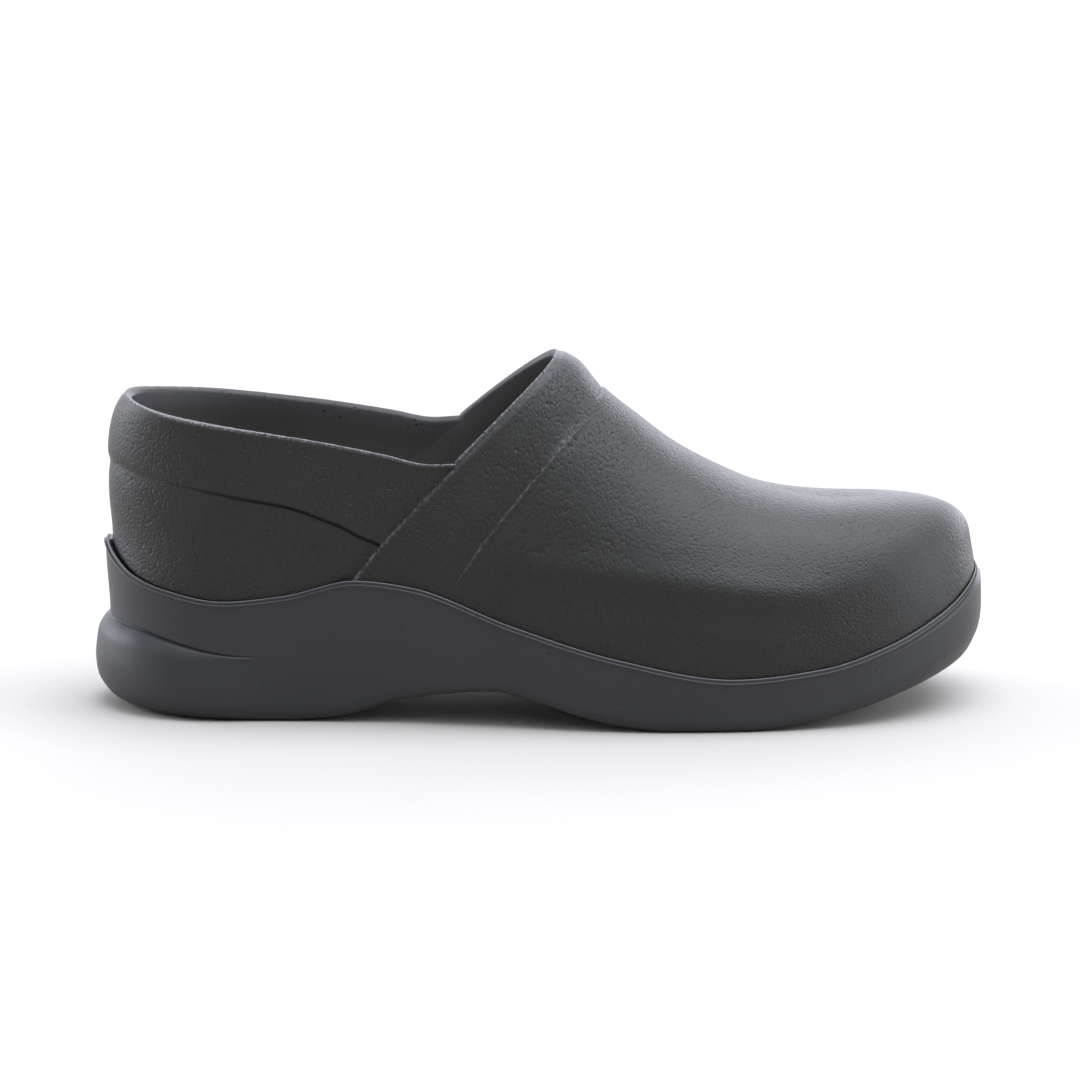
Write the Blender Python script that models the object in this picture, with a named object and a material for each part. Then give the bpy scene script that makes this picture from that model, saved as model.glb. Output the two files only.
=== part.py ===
"""A chef clog for the right foot, in three pieces: upper, sole and footbed.

Metres, +Z up. The toe points along +X and the outer side of the foot along -Y.
The shoe is laid out from the back of the sole's lip. At the end it is moved so that
the middle of its box, on the floor, is the origin.
"""
from typing import NamedTuple

import bpy
import numpy as np

# Plan of the sole's lip
LIP_LENGTH = 0.2860
HEEL_WIDTH = 0.0750
HEEL_ROUND = 0.0440
TOE_SQUARE = 2.5
TOE_SWING = 0.0090
SWING_START = 0.65
SWING_CURVE = 1.6

# Heights above the floor
LIP_HEIGHT = 0.0530
SEAT_HEIGHT = 0.0340
COLLAR_HEIGHT = 0.1025
CORNER_HEIGHT = 0.0850
THROAT_HEIGHT = 0.1154
TOE_HEIGHT = 0.0666
INNER_CORNER_RISE = 0.0046
INNER_CORNER_BACK = 0.17

# Upper
WALL = 0.0034
COLLAR_LEAN = 0.0045
COLLAR_ROUND = 0.0400
COLLAR_SQUARE = 2.1
QUARTER_BELLY = 0.0004
PANEL_STEP = 0.0010
PANEL_FADE = 0.0060
SEAM_DEPTH = 0.0010
SEAM_WIDTH = 0.0022
RIM_ROUND = 0.4

# Sole
LIP_PROUD = 0.0022
LIP_RISE = 0.0015
LIP_BEAD = 0.0028
LIP_GAP = 0.0005
GAP_FLARE = 1.4
BACK_EDGE_SOFT = 0.1
TIER_PROUD = 0.0036
SIDE_TAPER = 0.0008
TOE_BUMPER = 0.0020
EDGE_INSET = 0.0045
EDGE_RISE = 0.0040
END_INSET = 0.0175
END_RISE = 0.0095
END_FADE = 6
ARCH_RISE = 0.0116
TOE_SPRING = 0.0185
SPRING_START = 0.2090
SPRING_CURVE = 1.7
GROOVE_DEPTH = 0.0020
GROOVE_WIDTH = 0.0042
GROOVE_PITCH = 0.0125
TREAD_MARGIN = 0.0160
HEEL_TREAD = (0.0200, 0.0600)
BALL_TREAD = (0.1860, 0.2500)
GROOVE_STEPS = 6

# Footbed and fits
FOOTBED = 0.0040
FOOTBED_ROUND = 0.0011
FOOTBED_GAP = 0.0005
FIT = 0.0003


class Side(NamedTuple):
    """What differs between the outer and the inner side of the foot."""
    sign: int
    ball: float
    growth: str
    toe_round: float
    corner_rise: float
    corner_back: float


OUTER = Side(sign=-1, ball=0.0550, growth="outer", toe_round=0.0945, corner_rise=0.0, corner_back=0.0)
INNER = Side(sign=1, ball=0.0515, growth="inner", toe_round=0.0860, corner_rise=INNER_CORNER_RISE,
             corner_back=INNER_CORNER_BACK)


def table(names, *rows):
    """Columns of a short table, by name."""
    return dict(zip(names.split(), np.array(rows, dtype=float).T))


# Half-width on each side, as a share of the way from the heel's to the ball's, by place along the lip
GIRTH = table(
    "place outer inner",
    (0.000, 0.00, 0.00),
    (0.200, 0.00, -0.02),
    (0.320, 0.14, -0.12),
    (0.435, 0.54, 0.05),
    (0.545, 0.87, 0.50),
    (0.640, 1.00, 0.88),
    (0.720, 1.00, 1.00),
    (1.000, 1.00, 1.00),
)

# Height of the lip, as a share of its height at the back of the heel
LIP_LINE = table(
    "place height",
    (0.000, 1.000),
    (0.011, 0.943),
    (0.032, 0.868),
    (0.067, 0.806),
    (0.137, 0.749),
    (0.207, 0.785),
    (0.290, 0.887),
    (0.350, 0.855),
    (0.468, 0.636),
    (0.590, 0.447),
    (0.720, 0.331),
    (0.820, 0.377),
    (0.897, 0.490),
    (0.960, 0.647),
    (0.984, 0.735),
    (1.000, 0.818),
)

# Height of the arch under the waist, as a share of its rise
ARCH_LINE = table(
    "place height",
    (0.220, 0.00),
    (0.270, 0.12),
    (0.335, 0.60),
    (0.385, 0.84),
    (0.450, 1.00),
    (0.495, 0.76),
    (0.540, 0.41),
    (0.585, 0.15),
    (0.635, 0.00),
)

# Height of the footbed's top, as a share of the seat's
SEAT_LINE = table(
    "place height",
    (0.000, 1.00),
    (0.250, 0.97),
    (0.450, 0.70),
    (0.600, 0.50),
    (0.720, 0.42),
    (0.850, 0.47),
    (1.000, 0.72),
)

# Drop of the collar's rim from the heel to the throat's corner, as a share of the whole drop
COLLAR_LINE = table(
    "place drop",
    (0.00, 0.00),
    (0.10, 0.15),
    (0.27, 0.31),
    (0.44, 0.46),
    (0.60, 0.62),
    (0.78, 0.84),
    (0.92, 1.02),
    (1.00, 1.00),
)

# Height of the crest from the throat (place 0) to the toe box (place 1), as a share of the rise between
CREST_LINE = table(
    "place height",
    (0.00, 1.00),
    (0.06, 0.945),
    (0.135, 0.785),
    (0.205, 0.665),
    (0.275, 0.560),
    (0.34, 0.460),
    (0.41, 0.363),
    (0.55, 0.213),
    (0.69, 0.095),
    (0.82, 0.035),
    (0.93, 0.005),
    (1.00, 0.000),
)

# Lines across the vamp, each from its foot at the lip to its head on the crest. `square` is the section's
# exponent, `bow` bends the line forwards near its head, `slant` is 1 where it leans as a straight line.
VAMP_LINES = table(
    "line foot head square bow slant",
    (0, 0.283, 0.521, 2.45, 1.15, 1.0),  # back edge of the vamp, and of the throat
    (1, 0.392, 0.570, 2.40, 1.25, 1.0),  # second line, in front of the band
    (2, 0.520, 0.640, 2.35, 1.15, 1.0),  # instep
    (3, 0.680, 0.725, 2.40, 1.00, 1.0),  # ball
    (4, 0.820, 0.790, 2.60, 1.00, 0.7),  # toes
    (5, 0.935, 0.832, 3.15, 1.00, 0.3),  # turn of the toe
    (6, 1.000, 0.850, 4.10, 1.00, 0.0),  # tip
)
BAND_LINE = 1

# The quarter from the vamp's edge (around 0) to the back of the heel (around 1). `seam` is the counter
# seam's share of the height, `heel` the share of the heel's own section, `belly` the share of its belly.
QUARTER_LINES = table(
    "around seam heel slant belly",
    (0.00, 0.33, 0.00, 1.0, 0.0),
    (0.15, 0.53, 0.10, 1.0, 0.3),
    (0.30, 0.62, 0.25, 1.0, 0.6),
    (0.50, 0.64, 0.50, 0.8, 0.9),
    (0.75, 0.63, 0.80, 0.4, 1.0),
    (1.00, 0.56, 1.00, 0.0, 1.0),
)
HEEL_SQUARE = 6.0
HEEL_REACH = 0.92

# Side of the sole from the tread to the lip's bead. `up` and `out` are shares of the edge's rise and inset,
# `rise` of the wall's height above the edge, `tier` of the heel tier's, `taper` of the side's taper.
SOLE_SIDE = table(
    "up out rise tier taper",
    (0.00, 1.00, 0.00, 0.00, 0.0),
    (0.10, 0.50, 0.00, 0.15, 0.0),
    (0.36, 0.18, 0.00, 0.50, 0.2),
    (1.00, 0.00, 0.00, 0.90, 0.5),
    (1.00, 0.00, 0.17, 1.00, 0.8),
    (1.00, 0.00, 0.39, 0.50, 1.0),
    (1.00, 0.00, 0.46, 0.12, 1.0),
    (1.00, 0.00, 0.50, -0.40, 1.0),
    (1.00, 0.00, 0.54, -0.20, 1.0),
    (1.00, 0.00, 0.80, 0.05, 0.9),
    (1.00, 0.00, 1.00, 0.00, 0.8),
)
TIER_END = (0.10, 0.21)

# Top of the sole's lip, up over its bead. `inset` is a share of how far the lip stands proud of the upper,
# `drop` of the bead's height.
LIP_TOP = table(
    "inset drop",
    (0.15, 0.85),
    (0.00, 0.60),
    (0.00, 0.20),
    (0.30, 0.00),
)

# Where the mesh has its lines: closer at the steps, the rim and the round ends
QUARTER_STATIONS = np.array([0, 0.02, 0.05, 0.09, 0.14, 0.2, 0.27, 0.34, 0.42, 0.5, 0.59, 0.68, 0.77, 0.85, 0.93, 1])
SEAM_ROWS = np.array([-1.0, -0.35, 0.0, 0.35, 1.0]) * SEAM_WIDTH
ROWS_BELOW_SEAM = 3
ROWS_ABOVE_SEAM = 4
ROWS_ABOVE_CORNER = 7
VAMP_STATIONS = np.array([
    0.02, 0.3, 0.6, 0.82, 0.95, 1.0, 1.02, 1.3, 1.65, 2.0, 2.4, 2.8, 3.2,
    3.6, 4.0, 4.35, 4.7, 5.0, 5.25, 5.45, 5.63, 5.79, 5.91, 6.0,
])
RIM_STEPS = 3
ANGLE_STEP = 0.002


def between(rows, key, value, at):
    """Value at a place between a table's rows, on a cubic that doesn't overshoot them."""
    x, y = rows[key], rows[value]
    width = np.diff(x)
    slope = np.diff(y) / width
    same_way = slope[:-1] * slope[1:] > 0
    total = np.where(same_way, slope[:-1] + slope[1:], 1.0)
    inner = np.where(same_way, 2 * slope[:-1] * slope[1:] / total, 0.0)
    tangent = np.concatenate((slope[:1], inner, slope[-1:]))
    at = np.clip(at, x[0], x[-1])
    cell = np.clip(np.searchsorted(x, at) - 1, 0, len(width) - 1)
    t = (at - x[cell]) / width[cell]
    start = (1 + 2 * t) * (1 - t) ** 2 * y[cell] + t * (1 - t) ** 2 * width[cell] * tangent[cell]
    end = t ** 2 * (3 - 2 * t) * y[cell + 1] + t ** 2 * (t - 1) * width[cell] * tangent[cell + 1]
    return start + end


def ease(value, start, end):
    """Soft step from 0 at `start` to 1 at `end`."""
    t = np.clip((value - start) / (end - start), 0, 1)
    return t * t * (3 - 2 * t)


def round_end(distance, length, square=2.0):
    """Share of the full width at a distance from a round end: a quarter of a superellipse."""
    left = 1 - np.clip(distance / length, 0, 1)
    return (1 - left ** square) ** (1 / square)


def angle_at(place):
    """Angle along a side, 0 at the heel and pi at the toe, of a place along the lip."""
    return np.arccos(np.clip(1 - 2 * place, -1, 1))


def place_at(angle):
    """Place along the lip, a share of its length, at an angle."""
    return (1 - np.cos(angle)) / 2


def middle(place):
    """Y of the shoe's middle line, which swings to the inner side from the ball to the toe."""
    return TOE_SWING * np.clip((place - SWING_START) / (1 - SWING_START), 0, 1) ** SWING_CURVE


def lip_outline(angle, side):
    """Plan of the lip on one side: the middle line and the half-width with its two round ends."""
    place = place_at(angle)
    x = place * LIP_LENGTH
    grown = between(GIRTH, "place", side.growth, place)
    half = HEEL_WIDTH / 2 + grown * (side.ball - HEEL_WIDTH / 2)
    half = half * round_end(x, HEEL_ROUND) * round_end(LIP_LENGTH - x, side.toe_round, TOE_SQUARE)
    return np.stack((x, middle(place) + side.sign * half * np.sign(np.sin(angle))), axis=-1)


def plan(angle, side, inset):
    """Point of the lip's plan, moved inwards along its normal."""
    tangent = lip_outline(angle + ANGLE_STEP, side) - lip_outline(angle - ANGLE_STEP, side)
    tangent = tangent / np.linalg.norm(tangent, axis=-1, keepdims=True)
    inwards = side.sign * np.stack((tangent[..., 1], -tangent[..., 0]), axis=-1)
    return lip_outline(angle, side) + inwards * np.asarray(inset)[..., None]


def lip_height(place):
    """Height of the lip's top."""
    return LIP_HEIGHT * between(LIP_LINE, "place", "height", place)


def tread_height(x):
    """Height of the sole's underside: flat at heel and forefoot, with the arch and the toe spring."""
    arch = ARCH_RISE * between(ARCH_LINE, "place", "height", x / LIP_LENGTH)
    ahead = np.clip((x - SPRING_START) / (LIP_LENGTH - SPRING_START), 0, None)
    return arch + TOE_SPRING * ahead ** SPRING_CURVE


def footbed_top(place):
    """Height of the footbed's top."""
    return SEAT_HEIGHT * between(SEAT_LINE, "place", "height", place)


def crest_point(head):
    """Point on the crest, over the middle line, at a place along the lip."""
    heads = VAMP_LINES["head"]
    along = (head - heads[0]) / (heads[-1] - heads[0])
    height = TOE_HEIGHT + (THROAT_HEIGHT - TOE_HEIGHT) * between(CREST_LINE, "place", "height", along)
    return np.stack((head * LIP_LENGTH, middle(head), height), axis=-1)


def foot_point(angle, side):
    """Point of the upper's lower edge, on the sole's ledge behind the lip."""
    flat = plan(angle, side, LIP_PROUD)
    height = lip_height(place_at(angle)) - LIP_RISE + FIT
    return np.concatenate((flat, height[..., None]), axis=-1)


def lean(up, reach, square):
    """Share of the way inwards at a share `up` of the height: the part of a superellipse below `reach`."""
    full = 1 - np.clip(1 - (reach * up) ** square, 0, 1) ** (1 / square)
    return full / (1 - np.clip(1 - reach ** square, 0, 1) ** (1 / square))


def wall_curve(foot, top, up, reach, square, bow, slant):
    """Points of a wall from its foot to its top, up by shares `up`."""
    inwards = lean(up, reach, square)
    forwards = slant * up ** bow + (1 - slant) * inwards
    share = np.stack((forwards, inwards, up), axis=-1)
    return foot + (top - foot) * share


def vamp_line(line, name):
    """A column of the vamp's table between its lines."""
    return between(VAMP_LINES, "line", name, line)


def vamp_bow(line, side):
    """Bow of a line; on the inner side the vamp's back edge is drawn back a little more."""
    return vamp_line(line, "bow") + side.corner_back * np.clip(1 - line / 2, 0, 1)


def vamp_foot_angle(line):
    """Angle of a line's foot, smooth right up to the toe's tip."""
    angles = {"line": VAMP_LINES["line"], "angle": angle_at(VAMP_LINES["foot"])}
    return between(angles, "line", "angle", line)


def throat_corner(side):
    """The throat's corner on the vamp's back edge: its share of the edge's height, and the point."""
    line = np.array([0.0])
    foot = foot_point(vamp_foot_angle(line), side)
    head = crest_point(vamp_line(line, "head"))
    height = CORNER_HEIGHT + side.corner_rise - RIM_ROUND * WALL
    up = (height - foot[0, 2]) / (head[0, 2] - foot[0, 2])
    square = VAMP_LINES["square"][0]
    return up, wall_curve(foot, head, np.array([up]), 1.0, square, vamp_bow(line, side), 1.0)[0]


def rim_point(around, side):
    """Point of the collar's rim, from the throat's corner (0) to the back of the heel (1)."""
    corner = throat_corner(side)[1]
    back = LIP_PROUD + COLLAR_LEAN
    place = 1 - np.cos((1 - around) * np.pi / 2)
    x = back + (corner[0] - back) * place
    y = corner[1] * round_end(x - back, COLLAR_ROUND, COLLAR_SQUARE)
    drop = between(COLLAR_LINE, "place", "drop", place)
    rise = side.corner_rise * place
    z = COLLAR_HEIGHT - RIM_ROUND * WALL + rise - (COLLAR_HEIGHT - CORNER_HEIGHT) * drop
    return np.stack((x, y, z), axis=-1)


def quarter_foot_angle(around):
    """Angle of the lower end of a quarter's column."""
    return angle_at(VAMP_LINES["foot"][0] * (1 - np.cos((1 - around) * np.pi / 2)))


def quarter_side(side):
    """One side of the quarter: points and relief on a grid of columns around by rows up."""
    around = QUARTER_STATIONS
    mix = {name: between(QUARTER_LINES, "around", name, around)[:, None] for name in QUARTER_LINES}
    angle = quarter_foot_angle(around)
    foot = foot_point(angle, side)[:, None]
    top = rim_point(around, side)[:, None]
    tall = np.linalg.norm(top - foot, axis=-1)
    below = mix["seam"] + SEAM_ROWS[0] / tall
    above = mix["seam"] + SEAM_ROWS[-1] / tall
    up = np.hstack((
        below * np.arange(ROWS_BELOW_SEAM) / ROWS_BELOW_SEAM,
        mix["seam"] + SEAM_ROWS / tall,
        above + (1 - above) * np.arange(1, ROWS_ABOVE_SEAM + 1) / ROWS_ABOVE_SEAM,
    ))
    reach = throat_corner(side)[0]
    reach = reach + (HEEL_REACH - reach) * mix["heel"]
    square = VAMP_LINES["square"][0] + (HEEL_SQUARE - VAMP_LINES["square"][0]) * mix["heel"]
    edge_bow = vamp_bow(0.0, side)
    bow = edge_bow + (1 - edge_bow) * mix["heel"]
    points = wall_curve(foot, top, up, reach, square, bow, mix["slant"])
    outwards = plan(angle, side, 0.0) - plan(angle, side, 1.0)
    points[..., :2] += outwards[:, None] * (QUARTER_BELLY * mix["belly"] * np.sin(np.pi * up) ** 2)[..., None]
    from_edge = np.linalg.norm(points - points[:1], axis=-1)
    from_seam = (up - mix["seam"]) * tall
    relief = -PANEL_STEP * np.exp(-(from_edge / PANEL_FADE) ** 2)
    relief = relief - SEAM_DEPTH * np.exp(-(2 * from_seam / SEAM_WIDTH) ** 2)
    return points, np.clip(relief, -PANEL_STEP - SEAM_DEPTH / 2, 0), up[0] * throat_corner(side)[0]


def vamp_side(side, edge_rows):
    """One side of the vamp: points and relief on a grid of lines by rows, foot to crest."""
    line = np.concatenate(([0.0], VAMP_STATIONS))
    square = VAMP_LINES["square"][0]
    turn = np.arctan2(edge_rows, np.clip(1 - edge_rows ** square, 0, 1) ** (1 / square))
    turn = np.concatenate((turn, np.linspace(turn[-1], np.pi / 2, ROWS_ABOVE_CORNER + 1)[1:]))
    square = vamp_line(line, "square")[:, None]
    sine, cosine = np.sin(turn), np.clip(np.cos(turn), 0, 1)
    up = sine / (sine ** square + cosine ** square) ** (1 / square)
    foot = foot_point(vamp_foot_angle(line), side)[:, None]
    head = crest_point(vamp_line(line, "head"))[:, None]
    bow, slant = vamp_bow(line, side)[:, None], vamp_line(line, "slant")[:, None]
    points = wall_curve(foot, head, up, 1.0, square, bow, slant)
    band = np.flatnonzero(line == BAND_LINE)[0]
    from_line = np.linalg.norm(points - points[band], axis=-1)
    behind = (line <= BAND_LINE)[:, None]
    relief = np.where(behind, -PANEL_STEP * np.exp(-(from_line / PANEL_FADE) ** 2), 0.0)
    return points, relief


def strip(near, far):
    """Quads between two rows of vertex numbers, without those that have closed up."""
    quads = np.stack((near[:-1], far[:-1], far[1:], near[1:]), axis=-1)
    return [[int(v) for v in quad] for quad in quads if len(set(quad)) == 4]


def grid_faces(numbers):
    """Quads of a grid of vertex numbers."""
    faces = []
    for near, far in zip(numbers[:-1], numbers[1:]):
        faces += strip(near, far)
    return faces


def vertex_normals(points, faces):
    """Unit normals at the vertices of a mesh of quads, weighted by area."""
    quads = np.array(faces)
    corner = points[quads]
    normal = np.cross(corner[:, 2] - corner[:, 0], corner[:, 3] - corner[:, 1])
    total = np.zeros_like(points)
    for side in range(4):
        np.add.at(total, quads[:, side], normal)
    return total / np.linalg.norm(total, axis=-1, keepdims=True)


def upper_mesh():
    """The hollow upper: one outer skin, an inner skin a wall's thickness inside it, and their edges."""
    outer_quarter, outer_relief, outer_rows = quarter_side(OUTER)
    inner_quarter, inner_relief, inner_rows = quarter_side(INNER)
    quarter = np.vstack((outer_quarter, inner_quarter[-2::-1]))
    quarter_relief = np.vstack((outer_relief, inner_relief[-2::-1]))
    columns, rows = quarter.shape[:2]
    quarter_numbers = np.arange(columns * rows).reshape(columns, rows)

    outer_vamp, outer_step = vamp_side(OUTER, outer_rows)
    inner_vamp, inner_step = vamp_side(INNER, inner_rows)
    vamp = np.hstack((outer_vamp, inner_vamp[:, -2::-1]))
    vamp_relief = np.hstack((outer_step, inner_step[:, -2::-1]))
    lines, across = vamp.shape[:2]
    vamp_numbers = quarter_numbers.size + np.arange(lines * across).reshape(lines, across)
    vamp_numbers[0, :rows] = quarter_numbers[0]
    vamp_numbers[0, -rows:] = quarter_numbers[-1, ::-1]
    crest = across // 2
    vamp_numbers[-1, crest + 1:] = vamp_numbers[-1, :crest][::-1]

    points = np.vstack((quarter.reshape(-1, 3), vamp.reshape(-1, 3)))
    relief = np.concatenate((quarter_relief.ravel(), vamp_relief.ravel()))
    skin = grid_faces(quarter_numbers[:, ::-1]) + grid_faces(vamp_numbers)
    rim = np.concatenate((quarter_numbers[:, -1], vamp_numbers[0, rows:across - rows][::-1]))
    behind_rim = np.concatenate((quarter_numbers[:, -2], vamp_numbers[1, rows:across - rows][::-1]))
    base = np.concatenate((quarter_numbers[:, 0], vamp_numbers[1:, -1], vamp_numbers[1:-1, 0][::-1]))

    used = np.zeros(len(points), dtype=bool)
    used[np.unique(skin)] = True
    renumber = np.cumsum(used) - 1
    points, relief = points[used], relief[used]
    skin = [[int(renumber[v]) for v in face] for face in skin]
    rim, behind_rim, base = renumber[rim], renumber[behind_rim], renumber[base]

    normal = vertex_normals(points, skin)
    outside = points + normal * relief[:, None]
    inside = points - normal * WALL
    outside[base, 2] = points[base, 2]
    inside[base, 2] = points[base, 2]
    count = len(points)
    faces = skin + [[count + v for v in face[::-1]] for face in skin]

    off_edge = points[rim] - points[behind_rim]
    off_edge /= np.linalg.norm(off_edge, axis=-1, keepdims=True)
    centre = (outside[rim] + inside[rim]) / 2
    radius = outside[rim] - centre
    loops = [rim]
    arcs = []
    for turn in np.pi * np.arange(1, RIM_STEPS + 1) / (RIM_STEPS + 1):
        loops.append(2 * count + len(arcs) * len(rim) + np.arange(len(rim)))
        arcs.append(centre + radius * np.cos(turn) + off_edge * RIM_ROUND * WALL * np.sin(turn))
    loops.append(count + rim)
    for near, far in zip(loops[:-1], loops[1:]):
        faces += strip(np.append(near, near[0]), np.append(far, far[0]))
    faces += strip(np.append(count + base, count + base[0]), np.append(base, base[0]))
    return np.vstack([outside, inside] + arcs), faces


def foot_angles():
    """Angles of the upper's lines at the lip, which the sole and the footbed share."""
    return np.concatenate((quarter_foot_angle(QUARTER_STATIONS)[::-1], vamp_foot_angle(VAMP_STATIONS)))


def both(values):
    """Values out along the outer side and back along the inner one, as a closed loop."""
    return np.concatenate((values, values[-2:0:-1]))


def loop(inset):
    """Plan of a closed ring inside the lip, at one inset or at one for each angle."""
    angles = foot_angles()
    inset = np.broadcast_to(inset, angles.shape)
    return np.vstack((plan(angles, OUTER, inset), plan(angles, INNER, inset)[-2:0:-1]))


def ring(inset, height):
    """Points of a closed ring at a height, given around the loop."""
    return np.column_stack((loop(inset), height))


def shell_of_rings(rings):
    """Closed mesh of rings joined in order, capped at both ends by strips across the shoe."""
    count = len(rings[0])
    numbers = np.arange(len(rings) * count).reshape(len(rings), count)
    faces = grid_faces(np.hstack((numbers, numbers[:, :1]))[:, ::-1])
    half = count // 2
    for cap, turned in ((numbers[0], True), (numbers[-1], False)):
        outer, inner = cap[:half + 1], np.append(cap[0], cap[:half - 1:-1])
        for k in range(half):
            face = [int(v) for v in dict.fromkeys((outer[k], outer[k + 1], inner[k + 1], inner[k]))]
            faces.append(face[::-1] if turned else face)
    return np.vstack(rings), faces


def sole_rings():
    """Rings of the sole: tread, side with its heel tier, lip, ledge for the upper, and recess."""
    angles = foot_angles()
    place = place_at(angles)
    end = np.abs(np.cos(angles)) ** END_FADE
    edge_inset = EDGE_INSET + (END_INSET - EDGE_INSET) * end
    edge_rise = both(EDGE_RISE + (END_RISE - EDGE_RISE) * end)
    tier = 1 - ease(place, *TIER_END)
    narrow = SIDE_TAPER - TOE_BUMPER * np.clip(-np.cos(angles), 0, 1) ** END_FADE
    lip = both(lip_height(place))
    tread = tread_height(loop(edge_inset)[:, 0])
    wall_top = lip - LIP_BEAD
    rings = []
    for up, out, rise, proud, taper in zip(*SOLE_SIDE.values()):
        inset = out * edge_inset - proud * TIER_PROUD * tier + taper * narrow
        height = tread + up * edge_rise + rise * (wall_top - tread - edge_rise)
        rings.append(ring(inset, height))
    ledge = lip - LIP_RISE
    ledge_end = LIP_PROUD + WALL + 2 * FOOTBED_GAP
    floor = both(footbed_top(place)) - FOOTBED - FIT
    for inset, drop in zip(*LIP_TOP.values()):
        rings.append(ring(inset * LIP_PROUD, lip - drop * LIP_BEAD))
    rings.append(ring(LIP_PROUD - GAP_FLARE * LIP_GAP, lip - BACK_EDGE_SOFT * LIP_RISE))
    rings.append(ring(LIP_PROUD - LIP_GAP, ledge))
    rings.append(ring(ledge_end, ledge))
    rings.append(ring(ledge_end + FIT, floor))
    return rings


def footbed_rings():
    """Rings of the footbed, which lies in the sole's recess with its top edge rounded."""
    top = both(footbed_top(place_at(foot_angles())))
    edge = LIP_PROUD + WALL + 3 * FOOTBED_GAP + FIT
    return [
        ring(edge, top - FOOTBED),
        ring(edge, top - FOOTBED_ROUND),
        ring(edge + FOOTBED_ROUND, top),
    ]


def tread_grooves():
    """Cutters for the tread: round-ended bars across the heel and the forefoot."""
    points, faces = [], []
    turns = np.linspace(0, np.pi, GROOVE_STEPS + 1)
    rows = [np.arange(start, end, GROOVE_PITCH) for start, end in (HEEL_TREAD, BALL_TREAD)]
    for number, x in enumerate(np.concatenate(rows)):
        place = np.array([x / LIP_LENGTH])
        ends = [lip_outline(angle_at(place), side)[0, 1] - side.sign * TREAD_MARGIN for side in (OUTER, INNER)]
        outline = []
        for y, start in zip(ends, (np.pi, 0.0)):
            across = x + GROOVE_WIDTH / 2 * np.cos(start + turns)
            outline.append(np.column_stack((across, y + GROOVE_WIDTH / 2 * np.sin(start + turns))))
        outline = np.vstack(outline)
        tops = tread_height(outline[:, 0]) + GROOVE_DEPTH
        count = len(outline)
        points.append(np.column_stack((outline, np.full(count, -GROOVE_DEPTH))))
        points.append(np.column_stack((outline, tops)))
        low = 2 * count * number + np.arange(count)
        high = low + count
        faces += strip(np.append(low, low[0]), np.append(high, high[0]))
        faces.append([int(v) for v in low])
        faces.append([int(v) for v in high[::-1]])
    return np.vstack(points), faces


def signed_volume(points, faces):
    """Volume inside a closed mesh, negative where its faces point inwards."""
    total = 0.0
    for face in faces:
        for a, b in zip(face[1:-1], face[2:]):
            total += np.dot(points[face[0]], np.cross(points[a], points[b])) / 6
    return total


def add_object(name, points, faces, material=None):
    """A mesh object with its faces pointing out."""
    if signed_volume(points, faces) < 0:
        faces = [face[::-1] for face in faces]
    mesh = bpy.data.meshes.new(name)
    mesh.from_pydata(points.tolist(), [], faces)
    mesh.validate()
    if material is not None:
        mesh.materials.append(material)
    mesh.shade_smooth()
    mesh.set_sharp_from_angle(angle=np.radians(40))
    item = bpy.data.objects.new(name, mesh)
    bpy.context.scene.collection.objects.link(item)
    return item


def finish(name, color, roughness):
    """A plain material for one piece."""
    material = bpy.data.materials.new(name)
    material.use_nodes = True
    shader = material.node_tree.nodes["Principled BSDF"]
    shader.inputs["Base Color"].default_value = (*color, 1.0)
    shader.inputs["Roughness"].default_value = roughness
    shader.inputs["Metallic"].default_value = 0.0
    return material


def main():
    for item in list(bpy.data.objects):
        bpy.data.objects.remove(item)

    upper_points, upper_faces = upper_mesh()
    sole_points, sole_faces = shell_of_rings(sole_rings())
    footbed_points, footbed_faces = shell_of_rings(footbed_rings())
    groove_points, groove_faces = tread_grooves()

    everything = np.vstack((upper_points, sole_points))
    middle_of_box = (everything.min(axis=0) + everything.max(axis=0)) / 2
    origin = np.array([middle_of_box[0], middle_of_box[1], 0.0])

    add_object("upper", upper_points - origin, upper_faces, finish("upper", (0.036, 0.036, 0.038), 0.45))
    sole = add_object("sole", sole_points - origin, sole_faces, finish("sole", (0.040, 0.040, 0.042), 0.50))
    add_object("insole", footbed_points - origin, footbed_faces, finish("insole", (0.030, 0.030, 0.031), 0.80))

    grooves = add_object("tread_grooves", groove_points - origin, groove_faces)
    grooves.hide_render = True
    grooves.display_type = "WIRE"
    cut = sole.modifiers.new("tread", "BOOLEAN")
    cut.operation = "DIFFERENCE"
    cut.solver = "EXACT"
    cut.object = grooves


main()
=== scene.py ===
"""Looks of a chef clog for the right foot, laid out as an add-on and run as a script.

Metres, +Z up, the toe along +X and the outer side of the foot along -Y. The shapes follow the same last as
the packed part: they are laid out from the back of the sole's lip and then moved to the part's origin.
"""
from typing import NamedTuple

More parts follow.
